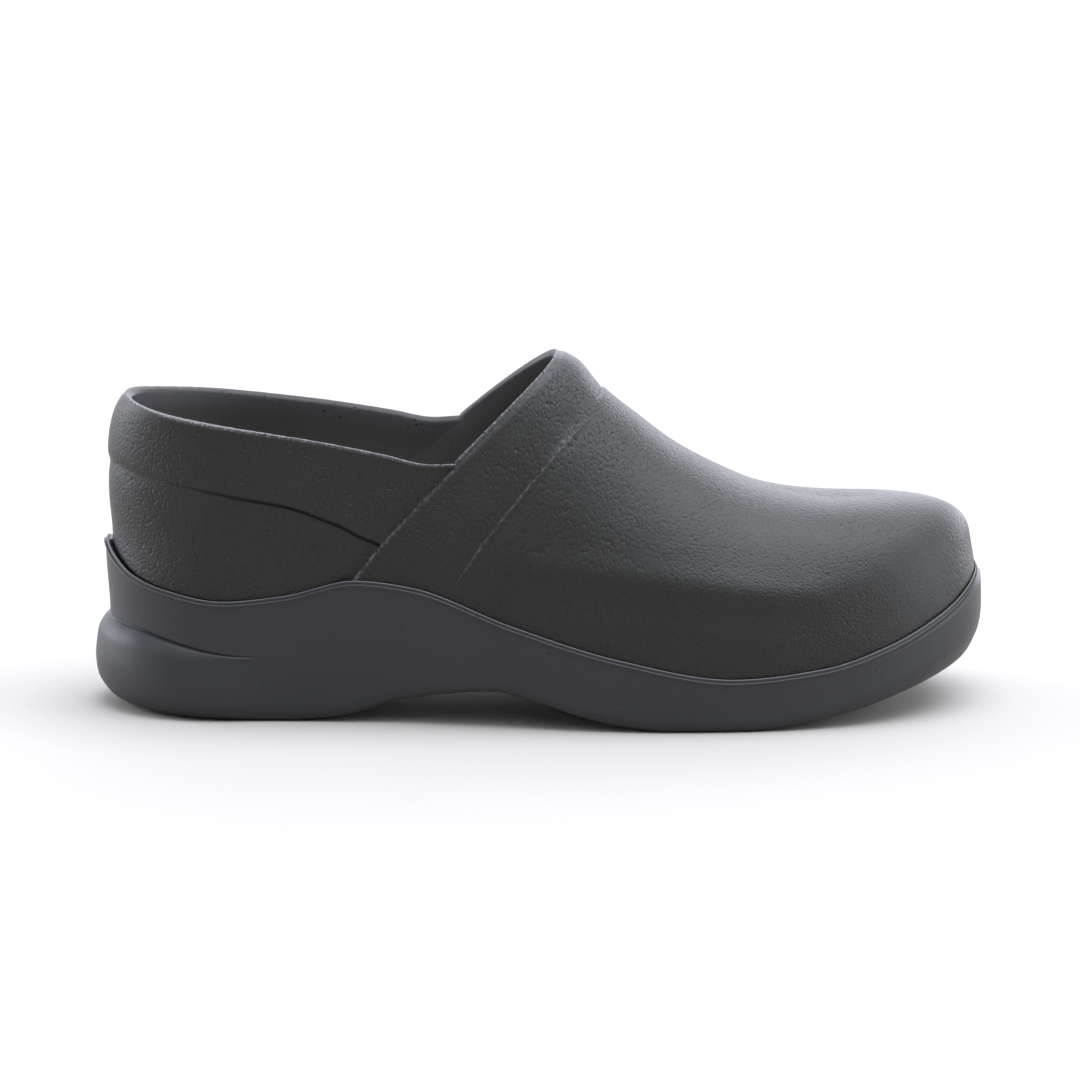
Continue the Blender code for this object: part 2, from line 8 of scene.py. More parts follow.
import bpy
import numpy as np
from bpy.props import FloatProperty, FloatVectorProperty, PointerProperty
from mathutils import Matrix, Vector


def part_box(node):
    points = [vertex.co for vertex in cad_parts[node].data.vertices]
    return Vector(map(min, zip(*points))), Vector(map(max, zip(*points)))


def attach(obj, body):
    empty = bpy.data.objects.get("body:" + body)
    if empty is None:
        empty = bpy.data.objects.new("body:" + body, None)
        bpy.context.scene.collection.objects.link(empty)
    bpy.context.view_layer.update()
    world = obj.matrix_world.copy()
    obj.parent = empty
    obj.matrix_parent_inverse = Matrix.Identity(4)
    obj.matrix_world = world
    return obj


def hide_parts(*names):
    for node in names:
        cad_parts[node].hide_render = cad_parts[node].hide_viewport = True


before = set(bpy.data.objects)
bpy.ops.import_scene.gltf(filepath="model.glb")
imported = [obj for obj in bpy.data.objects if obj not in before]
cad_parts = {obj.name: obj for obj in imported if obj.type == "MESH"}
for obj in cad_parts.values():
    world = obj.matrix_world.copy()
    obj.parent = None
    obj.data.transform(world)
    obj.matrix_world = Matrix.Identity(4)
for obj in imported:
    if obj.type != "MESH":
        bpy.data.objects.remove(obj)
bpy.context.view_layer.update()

bl_info = {
    "name": "Chef clog",
    "version": (1, 0, 0),
    "blender": (4, 5, 0),
    "location": "View3D > Sidebar > Clog",
    "description": "Makes the upper, the sole and the footbed of a moulded chef clog, and its studio",
    "category": "Add Mesh",
}

SOLE_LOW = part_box("sole")[0]

# Plan of the sole's lip
LIP_LENGTH = 0.2860
HEEL_WIDTH = 0.0750
HEEL_ROUND = 0.0440
TOE_SQUARE = 2.5
TOE_SWING = 0.0090
SWING_START = 0.65
SWING_CURVE = 1.6

# Heights above the floor
LIP_HEIGHT = 0.0530
SEAT_HEIGHT = 0.0340
COLLAR_HEIGHT = 0.1025
CORNER_HEIGHT = 0.0850
THROAT_HEIGHT = 0.1154
TOE_HEIGHT = 0.0666

# Upper
COLLAR_LEAN = 0.0045
COLLAR_ROUND = 0.0400
COLLAR_SQUARE = 2.1
RIM_ROUND = 0.4
RIM_CRISP = 9.0
RIM_SOFT = 1.9
HEEL_SQUARE = 6.0
HEEL_REACH = 0.92
PANEL_FADE = 0.0060

# Sole
LIP_PROUD = 0.0022
LIP_RISE = 0.0015
LIP_BEAD = 0.0028
LIP_GAP = 0.0005
TIER_PROUD = 0.0036
SIDE_TAPER = 0.0008
TOE_BUMPER = 0.0020
EDGE_INSET = 0.0045
EDGE_RISE = 0.0040
END_INSET = 0.0175
END_RISE = 0.0095
TOE_ROUND = 0.0035
END_FADE = 6
ARCH_RISE = 0.0116
TOE_SPRING = 0.0185
SPRING_START = 0.2090
SPRING_CURVE = 1.7
GROOVE_DEPTH = 0.0020
GROOVE_WIDTH = 0.0042
GROOVE_PITCH = 0.0125
TREAD_MARGIN = 0.0160
BACK_BAR_SHORT = 0.0060
HEEL_TREAD = (0.0200, 0.0600)
BALL_TREAD = (0.1860, 0.2500)

# Footbed and fits
FOOTBED = 0.0040
FOOTBED_ROUND = 0.0011
FOOTBED_GAP = 0.0005
DISH_END = (0.06, 0.13)
RIDGE_PLACE = 0.205
RIDGE_MIDDLE = -0.01
RIDGE_BOW = 17.5
RIDGE_WIDE = 0.006
FIT = 0.0003
ANGLE_STEP = 0.002


class Side(NamedTuple):
    """What differs between the outer and the inner side of the foot."""
    sign: int
    ball: float
    growth: str
    toe_round: float
    corner_rise: float
    corner_back: float


OUTER = Side(sign=-1, ball=0.0550, growth="outer", toe_round=0.0945, corner_rise=0.0, corner_back=0.0)
INNER = Side(sign=1, ball=0.0515, growth="inner", toe_round=0.0860, corner_rise=0.0046, corner_back=0.17)


def table(names, *rows):
    """Columns of a short table, by name."""
    return dict(zip(names.split(), np.array(rows, dtype=float).T))


# Half-width on each side, as a share of the way from the heel's to the ball's, by place along the lip
GIRTH = table(
    "place outer inner",
    (0.000, 0.00, 0.00),
    (0.200, 0.00, -0.02),
    (0.320, 0.14, -0.12),
    (0.435, 0.54, 0.05),
    (0.545, 0.87, 0.50),
    (0.640, 1.00, 0.88),
    (0.720, 1.00, 1.00),
    (1.000, 1.00, 1.00),
)

# Height of the lip, as a share of its height at the back of the heel
LIP_LINE = table(
    "place height",
    (0.000, 1.028),
    (0.011, 0.955),
    (0.032, 0.868),
    (0.067, 0.806),
    (0.137, 0.749),
    (0.207, 0.785),
    (0.290, 0.887),
    (0.350, 0.855),
    (0.468, 0.636),
    (0.590, 0.447),
    (0.720, 0.331),
    (0.820, 0.377),
    (0.897, 0.490),
    (0.960, 0.647),
    (0.984, 0.735),
    (1.000, 0.818),
)

# Height of the arch under the waist, as a share of its rise
ARCH_LINE = table(
    "place height",
    (0.220, 0.00),
    (0.270, 0.12),
    (0.335, 0.60),
    (0.385, 0.84),
    (0.450, 1.00),
    (0.495, 0.76),
    (0.540, 0.41),
    (0.585, 0.15),
    (0.635, 0.00),
)

# Height of the footbed's top, as a share of the seat's
SEAT_LINE = table(
    "place height",
    (0.000, 1.00),
    (0.250, 0.97),
    (0.450, 0.70),
    (0.600, 0.50),
    (0.720, 0.42),
    (0.850, 0.47),
    (1.000, 0.72),
)

# Drop of the collar's rim from the heel to the throat's corner, as a share of the whole drop
COLLAR_LINE = table(
    "place drop",
    (0.00, 0.00),
    (0.10, 0.15),
    (0.27, 0.31),
    (0.44, 0.46),
    (0.60, 0.62),
    (0.78, 0.84),
    (0.92, 1.02),
    (1.00, 1.00),
)

# Height of the crest from the throat (place 0) to the toe box (place 1), as a share of the rise between
CREST_LINE = table(
    "place height",
    (0.00, 1.00),
    (0.06, 0.945),
    (0.135, 0.785),
    (0.205, 0.665),
    (0.275, 0.560),
    (0.34, 0.460),
    (0.41, 0.363),
    (0.55, 0.213),
    (0.69, 0.095),
    (0.82, 0.035),
    (0.93, 0.005),
    (1.00, 0.000),
)

# Lines across the vamp, each from its foot at the lip to its head on the crest. `square` is the section's
# exponent, `bow` bends the line forwards near its head, `slant` is 1 where it leans as a straight line.
VAMP_LINES = table(
    "line foot head square bow slant",
    (0, 0.283, 0.521, 2.45, 1.15, 1.0),  # back edge of the vamp, and of the throat
    (1, 0.392, 0.570, 2.40, 1.25, 1.0),  # second line, in front of the band
    (2, 0.520, 0.640, 2.35, 1.15, 1.0),  # instep
    (3, 0.680, 0.725, 2.40, 1.00, 1.0),  # ball
    (4, 0.820, 0.790, 2.60, 1.00, 0.7),  # toes
    (5, 0.935, 0.832, 3.15, 1.00, 0.3),  # turn of the toe
    (6, 1.000, 0.850, 4.10, 1.00, 0.0),  # tip
)
BAND_LINE = 1
EVEN_LINES = (0.3, 2.0)  # where the rows turn from the quarter's spacing to an even one
FLARE_LINES = (4.9, 5.8)
FLARE_TOP = 0.45

# Second line by its share of the height: where it starts and fades, its notch at the crest, and its smear of
# painted highlight
LINE_START = (0.06, 0.22)
LINE_FADE = (0.86, 0.92)
NOTCH = (0.970, 0.995)
SMEAR_HEIGHT = 0.81
SMEAR_WIDE = 0.06

# Marks across the second line: distance in front of it, half width, weight. The dents are relief; the gloss
# marks are painted highlights in the colour
SMEAR_DENT = (0.0018, 0.0012, 1.0)
NOTCH_DENT = (0.0, 0.0008, 1.6)
THIN_GLOSS = (0.0002, 0.00045, 1.0)
SMEAR_GLOSS = (-0.0008, 0.0016, 0.48)
NOTCH_GLOSS = (0.0006, 0.0006, 0.6)
WANDER_WAVES = np.array([7.0, 13.0, 19.0, 29.0])
WANDER_PHASES = np.array([0.4, 2.1, 4.0, 5.3])

# Rolls at the back of the heel, by the distance above the counter seam: middle and half width
COLLAR_ROLL = (0.009, 0.012)
COUNTER_ROLL = (-0.008, 0.010)
COUNTER_TROUGH = (-0.025, 0.008)
COLLAR_NOTCH = 0.0022
COUNTER_NOTCH = 0.0030

# The quarter from the vamp's edge (around 0) to the back of the heel (around 1). `seam` is the counter
# seam's share of the height, `heel` the share of the heel's own section, `cut` how deep the seam is cut.
QUARTER_LINES = table(
    "around seam heel slant belly cut",
    (0.00, 0.33, 0.00, 1.0, 0.0, 1.0),
    (0.15, 0.53, 0.10, 1.0, 0.3, 1.0),
    (0.30, 0.62, 0.25, 1.0, 0.6, 1.0),
    (0.42, 0.635, 0.40, 0.9, 0.8, 0.8),
    (0.50, 0.64, 0.50, 0.8, 0.9, 0.45),
    (0.60, 0.64, 0.62, 0.65, 0.95, 0.18),
    (0.75, 0.63, 0.80, 0.4, 1.0, 0.05),
    (1.00, 0.56, 1.00, 0.0, 1.0, 0.0),
)

# Side of the sole from the tread to the lip's bead. `up` and `out` are shares of the edge's rise and inset,
# `rise` of the wall's height above the edge, `tier` of the heel tier's, `taper` of the side's taper.
SOLE_SIDE = table(
    "row up out rise tier taper",
    (0, 0.00, 1.00, 0.00, 0.00, 0.0),
    (1, 0.10, 0.50, 0.00, 0.12, 0.0),
    (2, 0.36, 0.21, 0.00, 0.47, 0.2),
    (3, 0.86, 0.03, 0.02, 0.82, 0.5),
    (4, 1.00, 0.00, 0.17, 1.00, 0.8),
    (5, 1.00, 0.00, 0.36, 0.80, 1.0),
    (6, 1.00, 0.00, 0.45, 0.52, 1.0),
    (7, 1.00, 0.00, 0.485, 0.26, 1.0),
    (8, 1.00, 0.00, 0.500, 0.00, 1.0),
    (9, 1.00, 0.00, 0.515, 0.00, 1.0),
    (10, 1.00, 0.00, 0.560, 0.00, 1.0),
    (11, 1.00, 0.00, 0.80, 0.00, 0.9),
    (12, 1.00, 0.00, 1.00, 0.00, 0.8),
)
TIER_END = (0.06, 0.20)
CREASE_RISE = 0.500
CREASE_WIDE = 0.008
CREASE_DEPTH = 0.0004
HEEL_WAIST = 0.0011
WAIST_RISE = 0.36
WAIST_END = (0.02, 0.16)

# Upper edge of the heel tier: how far it lies above its plain height, and how deep its crease is cut
TIER_LINE = table(
    "place lift cut",
    (0.000, -0.030, 0.15),
    (0.020, 0.050, 0.15),
    (0.045, 0.100, 0.55),
    (0.070, 0.090, 1.00),
    (0.120, 0.055, 1.00),
    (0.160, 0.020, 0.70),
    (0.190, 0.000, 0.00),
    (1.000, 0.000, 0.00),
)

# Top of the sole's lip: an outer edge, and a finer and higher one behind it against the upper. `inset` is a
# share of how far the lip stands proud, `drop` of its own height, `shine` how much painted highlight the row
# gets, and below 0 how much painted shade its groove gets.
LIP_TOP = table(
    "inset drop shine",
    (0.24, 0.90, 0.0),
    (0.14, 0.72, 0.0),
    (0.05, 0.55, 0.0),
    (0.00, 0.48, 0.2),
    (0.03, 0.41, 0.35),
    (0.12, 0.38, 0.0),
    (0.23, 0.50, -1.0),
    (0.30, 0.50, -1.0),
    (0.36, 0.32, -0.6),
    (0.41, 0.11, 0.1),
    (0.46, 0.02, 1.0),
    (0.54, 0.00, 1.0),
    (0.64, 0.04, 0.2),
)

# Soft ridges and troughs of the upper, seen from the side: place along the lip and height of the middle,
# half length and half width, tilt of the long axis, and rise above the plain last.
SOFT_FORMS = table(
    "place height long wide tilt rise",
    (0.680, 0.064, 0.040, 0.0100, -20, -0.0006),  # hollow above the shoulder
    (0.480, 0.066, 0.030, 0.0120, -50, -0.0004),  # hollow in front of the band
    (0.200, 0.058, 0.030, 0.0090, -8, -0.0005),  # hollow of the counter
    (0.250, 0.084, 0.028, 0.0080, -12, -0.0004),  # hollow below the collar
)

# Shoulder of the forefoot, between its upright side and its top: height as a share of the toe's
SHOULDER_LINE = table(
    "place height rise",
    (0.420, 0.818, 0.0),
    (0.540, 0.781, 0.6),
    (0.650, 0.725, 0.9),
    (0.745, 0.673, 1.0),
    (0.790, 0.658, 1.0),
    (0.840, 0.683, 0.5),
    (0.910, 0.751, 0.0),
)

SHOULDER_TROUGH = (1.7, 0.45)  # half widths below the ridge, share of its height

# Where the meshes have their lines, closer at the steps, the rim and the round ends
EDGE_OFFSETS = np.array([0, 0.12, 0.25, 0.42, 0.62, 0.85, 1.15, 1.6, 2.2, 3.0, 4.0]) * 0.001
QUARTER_COLUMNS = 84
ROWS_BELOW_SEAM = 20
ROWS_ACROSS_SEAM = 17
ROWS_ABOVE_SEAM = 28
ROWS_ABOVE_CORNER = 56
VAMP_COLUMNS = 104
RIM_TURNS = np.array([0.06, 0.13, 0.28, 0.6, 1.0, 1.5, 2.0, 2.5, 2.9])
RUBBED_TURN = 0.30
INSIDE_TURNS = (2.6, 3.4)
NEAR_RIM = 0.0042
NO_TRIANGLES = np.empty((0, 3), dtype=int)
SOLE_STATIONS = 260
SAME_STATION = 0.0004
SIDE_ROWS = 56
TREAD_ROWS = 84
EVEN_START = (0.04, 0.10)
EVEN_END = (0.90, 0.96)
EVEN_EDGE = 0.11
FLOOR_ROWS = 20

# Zones of the upper's grain and tone, where their soft edges lie along X
BACK_END = (-0.141, -0.118)
SHADE_END = (-0.125, -0.055)
QUARTER_END = (-0.060, -0.020)
BAND_START = (-0.045, -0.010)
BAND_END = (0.020, 0.060)
FLANK_START = (-0.030, 0.0)
CREST_START = (0.005, 0.030)
TOE_START = (0.035, 0.085)
TIP_START = (0.100, 0.128)

# The same across, by the square of Y
TOP_SIDE = (0.0003, 0.0012)
CREST_SIDE = (0.0, 0.0011)
FLANK_SIDE = (0.00005, 0.0008)


def between(rows, key, value, at):
    """Value at a place between a table's rows, on a cubic that doesn't overshoot them."""
    x, y = rows[key], rows[value]
    width = np.diff(x)
    slope = np.diff(y) / width
    same_way = slope[:-1] * slope[1:] > 0
    total = np.where(same_way, slope[:-1] + slope[1:], 1.0)
    inner = np.where(same_way, 2 * slope[:-1] * slope[1:] / total, 0.0)
    tangent = np.concatenate((slope[:1], inner, slope[-1:]))
    at = np.clip(at, x[0], x[-1])
    cell = np.clip(np.searchsorted(x, at) - 1, 0, len(width) - 1)
    t = (at - x[cell]) / width[cell]
    start = (1 + 2 * t) * (1 - t) ** 2 * y[cell] + t * (1 - t) ** 2 * width[cell] * tangent[cell]
    end = t ** 2 * (3 - 2 * t) * y[cell + 1] + t ** 2 * (t - 1) * width[cell] * tangent[cell + 1]
    return start + end


def ease(value, start, end):
    """Soft step from 0 at `start` to 1 at `end`: 3t^2 - 2t^3."""
    t = np.clip((value - start) / (end - start), 0, 1)
    return t * t * (3 - 2 * t)


def bell(value, width):
    """Soft hump of height 1 at 0: e to the minus of the squared share of the width."""
    return np.exp(-(value / width) ** 2)


def mark(distance, middle_at, width, weight=1.0):
    """Hump across a line, as high as its weight, with its middle at a distance from the line."""
    return weight * bell(distance - middle_at, width)


def round_end(distance, length, square=2.0):
    """Share of the full width at a distance from a round end: a quarter of a superellipse."""
    left = 1 - np.clip(distance / length, 0, 1)
    return (1 - left ** square) ** (1 / square)


def angle_at(place):
    """Angle along a side, 0 at the heel and pi at the toe, of a place along the lip."""
    return np.arccos(np.clip(1 - 2 * place, -1, 1))


def place_at(angle):
    """Place along the lip, a share of its length, at an angle: half of 1 minus its cosine."""
    return (1 - np.cos(angle)) / 2


def middle(place):
    """Y of the shoe's middle line, which swings to the inner side from the ball to the toe."""
    return TOE_SWING * np.clip((place - SWING_START) / (1 - SWING_START), 0, 1) ** SWING_CURVE


def lip_outline(angle, side):
    """Plan of the lip on one side: the middle line and the half-width with its two round ends."""
    place = place_at(angle)
    x = place * LIP_LENGTH
    grown = between(GIRTH, "place", side.growth, place)
    half = HEEL_WIDTH / 2 + grown * (side.ball - HEEL_WIDTH / 2)
    half = half * round_end(x, HEEL_ROUND) * round_end(LIP_LENGTH - x, side.toe_round, TOE_SQUARE)
    return np.stack((x, middle(place) + side.sign * half * np.sign(np.sin(angle))), axis=-1)


def plan(angle, side, inset):
    """Points of the lip's plan, moved inwards along its normal."""
    tangent = lip_outline(angle + ANGLE_STEP, side) - lip_outline(angle - ANGLE_STEP, side)
    tangent = tangent / np.linalg.norm(tangent, axis=-1, keepdims=True)
    inwards = side.sign * np.stack((tangent[..., 1], -tangent[..., 0]), axis=-1)
    return lip_outline(angle, side) + inwards * np.asarray(inset)[..., None]


def lip_height(place):
    """Height of the lip's top."""
    return LIP_HEIGHT * between(LIP_LINE, "place", "height", place)


def tread_height(x):
    """Height of the sole's underside: flat at heel and forefoot, with the arch and the toe spring."""
    arch = ARCH_RISE * between(ARCH_LINE, "place", "height", x / LIP_LENGTH)
    ahead = np.clip((x - SPRING_START) / (LIP_LENGTH - SPRING_START), 0, None)
    return arch + TOE_SPRING * ahead ** SPRING_CURVE


def footbed_top(place):
    """Height of the footbed's top."""
    return SEAT_HEIGHT * between(SEAT_LINE, "place", "height", place)


def crest_point(head):
    """Point on the crest, over the middle line, at a place along the lip."""
    heads = VAMP_LINES["head"]
    along = (head - heads[0]) / (heads[-1] - heads[0])
    height = TOE_HEIGHT + (THROAT_HEIGHT - TOE_HEIGHT) * between(CREST_LINE, "place", "height", along)
    return np.stack((head * LIP_LENGTH, middle(head), height), axis=-1)


def foot_point(angle, side):
    """Point of the upper's lower edge, on the sole's ledge behind the lip."""
    flat = plan(angle, side, LIP_PROUD)
    height = lip_height(place_at(angle)) - LIP_RISE + FIT
    return np.concatenate((flat, height[..., None]), axis=-1)


def lean(up, reach, square):
    """Share of the way inwards at a share `up` of the height: the part of a superellipse below `reach`."""
    full = 1 - np.clip(1 - (reach * up) ** square, 0, 1) ** (1 / square)
    return full / (1 - np.clip(1 - reach ** square, 0, 1) ** (1 / square))


def wall_curve(foot, top, up, reach, square, bow, slant):
    """Points of a wall from its foot to its top, up by shares `up`."""
    inwards = lean(up, reach, square)
    forwards = slant * up ** bow + (1 - slant) * inwards
    share = np.stack((forwards, inwards, np.broadcast_to(up, inwards.shape)), axis=-1)
    return foot + (top - foot) * share


def vamp_line(line, name):
    """A column of the vamp's table between its lines."""
    return between(VAMP_LINES, "line", name, line)


def vamp_bow(line, side):
    """Bow of a line; on the inner side the vamp's back edge is drawn back a little more."""
    return vamp_line(line, "bow") + side.corner_back * np.clip(1 - line / 2, 0, 1)


def vamp_foot_angle(line):
    """Angle of a line's foot, smooth right up to the toe's tip."""
    angles = {"line": VAMP_LINES["line"], "angle": angle_at(VAMP_LINES["foot"])}
    return between(angles, "line", "angle", line)


def throat_corner(side, wall):
    """The throat's corner on the vamp's back edge: its share of the edge's height, and the point."""
    line = np.array([0.0])
    foot = foot_point(vamp_foot_angle(line), side)
    head = crest_point(vamp_line(line, "head"))
    height = CORNER_HEIGHT + side.corner_rise - RIM_ROUND * wall
    up = (height - foot[0, 2]) / (head[0, 2] - foot[0, 2])
    square = VAMP_LINES["square"][0]
    return up, wall_curve(foot, head, np.array([up]), 1.0, square, vamp_bow(line, side), 1.0)[0]


def rim_point(around, side, wall):
    """Point of the collar's rim, from the throat's corner (0) to the back of the heel (1)."""
    corner = throat_corner(side, wall)[1]
    back = LIP_PROUD + COLLAR_LEAN
    place = 1 - np.cos((1 - around) * np.pi / 2)
    x = back + (corner[0] - back) * place
    y = corner[1] * round_end(x - back, COLLAR_ROUND, COLLAR_SQUARE)
    drop = between(COLLAR_LINE, "place", "drop", place)
    rise = side.corner_rise * place
    z = COLLAR_HEIGHT - RIM_ROUND * wall + rise - (COLLAR_HEIGHT - CORNER_HEIGHT) * drop
    return np.stack((x, y, z), axis=-1)


def quarter_foot_angle(around):
    """Angle of the lower end of a quarter's column."""
    return angle_at(VAMP_LINES["foot"][0] * (1 - np.cos((1 - around) * np.pi / 2)))


def soft_relief(points):
    """Sum of the soft ridges and troughs at points of the upper: turned humps in the side view."""
    relief = np.zeros(points.shape[:-1])
    for place, height, long, wide, tilt, rise in zip(*SOFT_FORMS.values()):
        x = points[..., 0] - place * LIP_LENGTH
        z = points[..., 2] - height
        c, s = np.cos(np.radians(tilt)), np.sin(np.radians(tilt))
        relief += rise * bell(c * x + s * z, long) * bell(c * z - s * x, wide)
    return relief


def shoulder_relief(points, sizes):
    """Ridge along the forefoot's shoulder with a shallow trough below it: two humps across a line."""
    place = points[..., 0] / LIP_LENGTH
    above = points[..., 2] - TOE_HEIGHT * between(SHOULDER_LINE, "place", "height", place)
    wide = sizes.shoulder_width
    profile = bell(above, wide) - mark(above, -SHOULDER_TROUGH[0] * wide, wide, SHOULDER_TROUGH[1])
    return sizes.shoulder_rise * between(SHOULDER_LINE, "place", "rise", place) * profile


def heel_rolls(from_seam, heel, sizes):
    """Rolls of the collar and the counter at the back of the heel, with a notch at the seam between them."""
    collar = (1 - bell(from_seam, COLLAR_NOTCH)) * mark(from_seam, *COLLAR_ROLL)
    counter = (1 - bell(from_seam, COUNTER_NOTCH)) * mark(from_seam, *COUNTER_ROLL)
    counter = counter - mark(from_seam, *COUNTER_TROUGH, 1.4)
    roll = np.where(from_seam > 0, collar, counter)
    return sizes.heel_roll * roll * ease(heel, 0.45, 0.85)


def rounded_step(distance, depth, radius):
    """Step of a panel's edge: down by its depth at 0, and a quarter of a circle up to its face."""
    t = np.clip(distance / radius, 0, 1)
    return -depth * (1 - np.sqrt(1 - (1 - t) ** 2))


def quarter_side(side, sizes):
    """One side of the quarter, columns around by rows up: points, relief, groove, edge, rows at the vamp."""
    speed = np.pi / 2 * VAMP_LINES["foot"][0] * LIP_LENGTH
    near = EDGE_OFFSETS / speed
    around = np.concatenate((near, np.linspace(near[-1], 1, QUARTER_COLUMNS + 1)[1:]))
    mix = {name: between(QUARTER_LINES, "around", name, around)[:, None] for name in QUARTER_LINES}
    angle = quarter_foot_angle(around)
    foot = foot_point(angle, side)[:, None]
    top = rim_point(around, side, sizes.wall)[:, None]
    tall = np.linalg.norm(top - foot, axis=-1)
    seam_rows = np.linspace(-1, 1, ROWS_ACROSS_SEAM) * 2 * sizes.seam_width
    below = mix["seam"] + seam_rows[0] / tall
    above = mix["seam"] + seam_rows[-1] / tall
    up = np.hstack((
        below * np.arange(ROWS_BELOW_SEAM) / ROWS_BELOW_SEAM,
        mix["seam"] + seam_rows / tall,
        above + (1 - above) * np.arange(1, ROWS_ABOVE_SEAM + 1) / ROWS_ABOVE_SEAM,
    ))
    corner = throat_corner(side, sizes.wall)[0]
    reach = corner + (HEEL_REACH - corner) * mix["heel"]
    square = VAMP_LINES["square"][0] + (HEEL_SQUARE - VAMP_LINES["square"][0]) * mix["heel"]
    edge_bow = vamp_bow(0.0, side)
    bow = edge_bow + (1 - edge_bow) * mix["heel"]
    points = wall_curve(foot, top, up, reach, square, bow, mix["slant"])
    from_edge = np.linalg.norm(points - points[:1], axis=-1)
    from_seam = (up - mix["seam"]) * tall
    groove = mix["cut"] * bell(from_seam, sizes.seam_width / 2)
    collar_edge = mix["cut"] * ease(from_seam, 0, sizes.seam_width / 2) * bell(from_seam, PANEL_FADE)
    shoulder = (1 - mix["cut"]) * ease(from_seam, -sizes.seam_width, 2 * sizes.seam_width)
    shoulder = shoulder * bell(from_seam, 2 * PANEL_FADE) * mix["belly"]
    relief = -sizes.panel_step * bell(from_edge, PANEL_FADE) - sizes.seam_depth * groove
    relief = relief + sizes.seam_ridge * (collar_edge + shoulder) + soft_relief(points)
    relief = relief + heel_rolls(from_seam, mix["heel"], sizes)
    return points, relief, groove, np.zeros(relief.shape), up[0] * corner


def line_wander(up):
    """Unevenness of the second line at a share of the height, about -1 to 1: a sum of four sines."""
    return np.sin(2 * np.pi * WANDER_WAVES * up[..., None] + WANDER_PHASES).sum(axis=-1) / 2


def vamp_side(side, edge_rows, sizes):
    """One side of the vamp, lines forwards by rows up: points, relief, groove and painted edge highlight."""
    speed = np.diff(VAMP_LINES["foot"])[0] * LIP_LENGTH
    near = EDGE_OFFSETS / speed
    behind = BAND_LINE - near[1:6][::-1] * 2
    spread = np.linspace(near[-1], behind[0], 22)[1:-1]
    front = np.linspace(BAND_LINE + near[-1], VAMP_LINES["line"][-1], VAMP_COLUMNS - 20)[1:]
    line = np.concatenate((near, spread, behind, BAND_LINE + near, front))
    square = VAMP_LINES["square"][0]
    turn = np.arctan2(edge_rows, np.clip(1 - edge_rows ** square, 0, 1) ** (1 / square))
    turn = np.concatenate((turn, np.linspace(turn[-1], np.pi / 2, ROWS_ABOVE_CORNER + 1)[1:]))
    even = np.linspace(0, np.pi / 2, len(turn))
    turn = turn + (even - turn) * ease(line, *EVEN_LINES)[:, None]
    square = vamp_line(line, "square")[:, None]
    sine, cosine = np.sin(turn), np.clip(np.cos(turn), 0, 1)
    up = sine / (sine ** square + cosine ** square) ** (1 / square)
    foot = foot_point(vamp_foot_angle(line), side)[:, None]
    head = crest_point(vamp_line(line, "head"))[:, None]
    bow, slant = vamp_bow(line, side)[:, None], vamp_line(line, "slant")[:, None]
    points = wall_curve(foot, head, up, 1.0, square, bow, slant)

    from_edge = np.linalg.norm(points - points[:1], axis=-1)
    band = np.searchsorted(line, BAND_LINE)
    from_line = np.linalg.norm(points - points[band], axis=-1) * np.sign(line - BAND_LINE)[:, None]
    from_line = from_line + line_wander(up) * sizes.line_wander
    notch = ease(up, *NOTCH)
    fading = ease(up, *LINE_START) * (1 - 0.95 * ease(up, *LINE_FADE)) + 0.5 * notch
    smear = bell(up - SMEAR_HEIGHT, SMEAR_WIDE)
    relief = rounded_step(from_edge, sizes.panel_step, sizes.edge_round)
    relief += sizes.edge_ridge * bell(from_edge - sizes.edge_round, sizes.edge_round)
    behind_line = (line <= BAND_LINE)[:, None]
    band_dip = -sizes.second_step * bell(from_line, PANEL_FADE)
    fine = sizes.edge_round / 2
    vamp_edge = rounded_step(from_line, sizes.second_step, fine)
    vamp_edge = vamp_edge + sizes.edge_ridge * bell(from_line - fine, fine)
    relief += fading * np.where(behind_line, band_dip, vamp_edge)
    dents = smear * mark(from_line, *SMEAR_DENT) + notch * mark(from_line, *NOTCH_DENT)
    relief -= sizes.line_dent * dents
    relief += soft_relief(points) + shoulder_relief(points, sizes)
    relief += sizes.toe_flare * (1 - ease(up, 0.0, FLARE_TOP)) * ease(line, *FLARE_LINES)[:, None]
    # Painted highlights for the colour: a pale bead along the vamp's back edge, a thin broken pale line along
    # the second line, a pale smear and a glint at its notch
    painted_highlight = mark(from_edge, 0.4 * sizes.edge_round, 0.5 * sizes.edge_round) * (0.6 - 0.25 * ease(up, 0.0, 0.5))
    thin = (0.50 + 0.34 * line_wander(1.7 * up)) * fading * mark(from_line, *THIN_GLOSS)
    gloss = smear * mark(from_line, *SMEAR_GLOSS) + notch * mark(from_line, *NOTCH_GLOSS)
    edge = np.clip(np.maximum(painted_highlight, thin) + gloss, 0, 1)
    return points, relief, np.zeros(relief.shape), edge


def grid_faces(numbers):
    """Quads and triangles of a grid of vertex numbers: a triangle where a side has closed to a point."""
    quads = np.stack((numbers[:-1, :-1], numbers[1:, :-1], numbers[1:, 1:], numbers[:-1, 1:]), axis=-1)
    quads = quads.reshape(-1, 4)
    repeated = quads == np.roll(quads, 1, axis=1)
    times = repeated.sum(axis=1)
    closed = times == 1
    triangles = quads[closed][~repeated[closed]].reshape(-1, 3)
    return quads[times == 0], triangles


def closed_strip(near, far):
    """Faces between two closed rings of vertex numbers."""
    return grid_faces(np.stack((np.append(near, near[0]), np.append(far, far[0]))))


def face_normals(points, faces):
    """Normals of faces, as long as twice their area: the cross product of their diagonals."""
    corner = points[faces]
    return np.cross(corner[:, 2] - corner[:, 0], corner[:, -1] - corner[:, 1])


def vertex_normals(points, faces):
    """Unit normals at the vertices of a mesh of quads, weighted by area."""
    normal = face_normals(points, faces)
    total = np.zeros_like(points)
    for corner in range(faces.shape[1]):
        np.add.at(total, faces[:, corner], normal)
    return total / np.maximum(np.linalg.norm(total, axis=-1, keepdims=True), 1e-12)


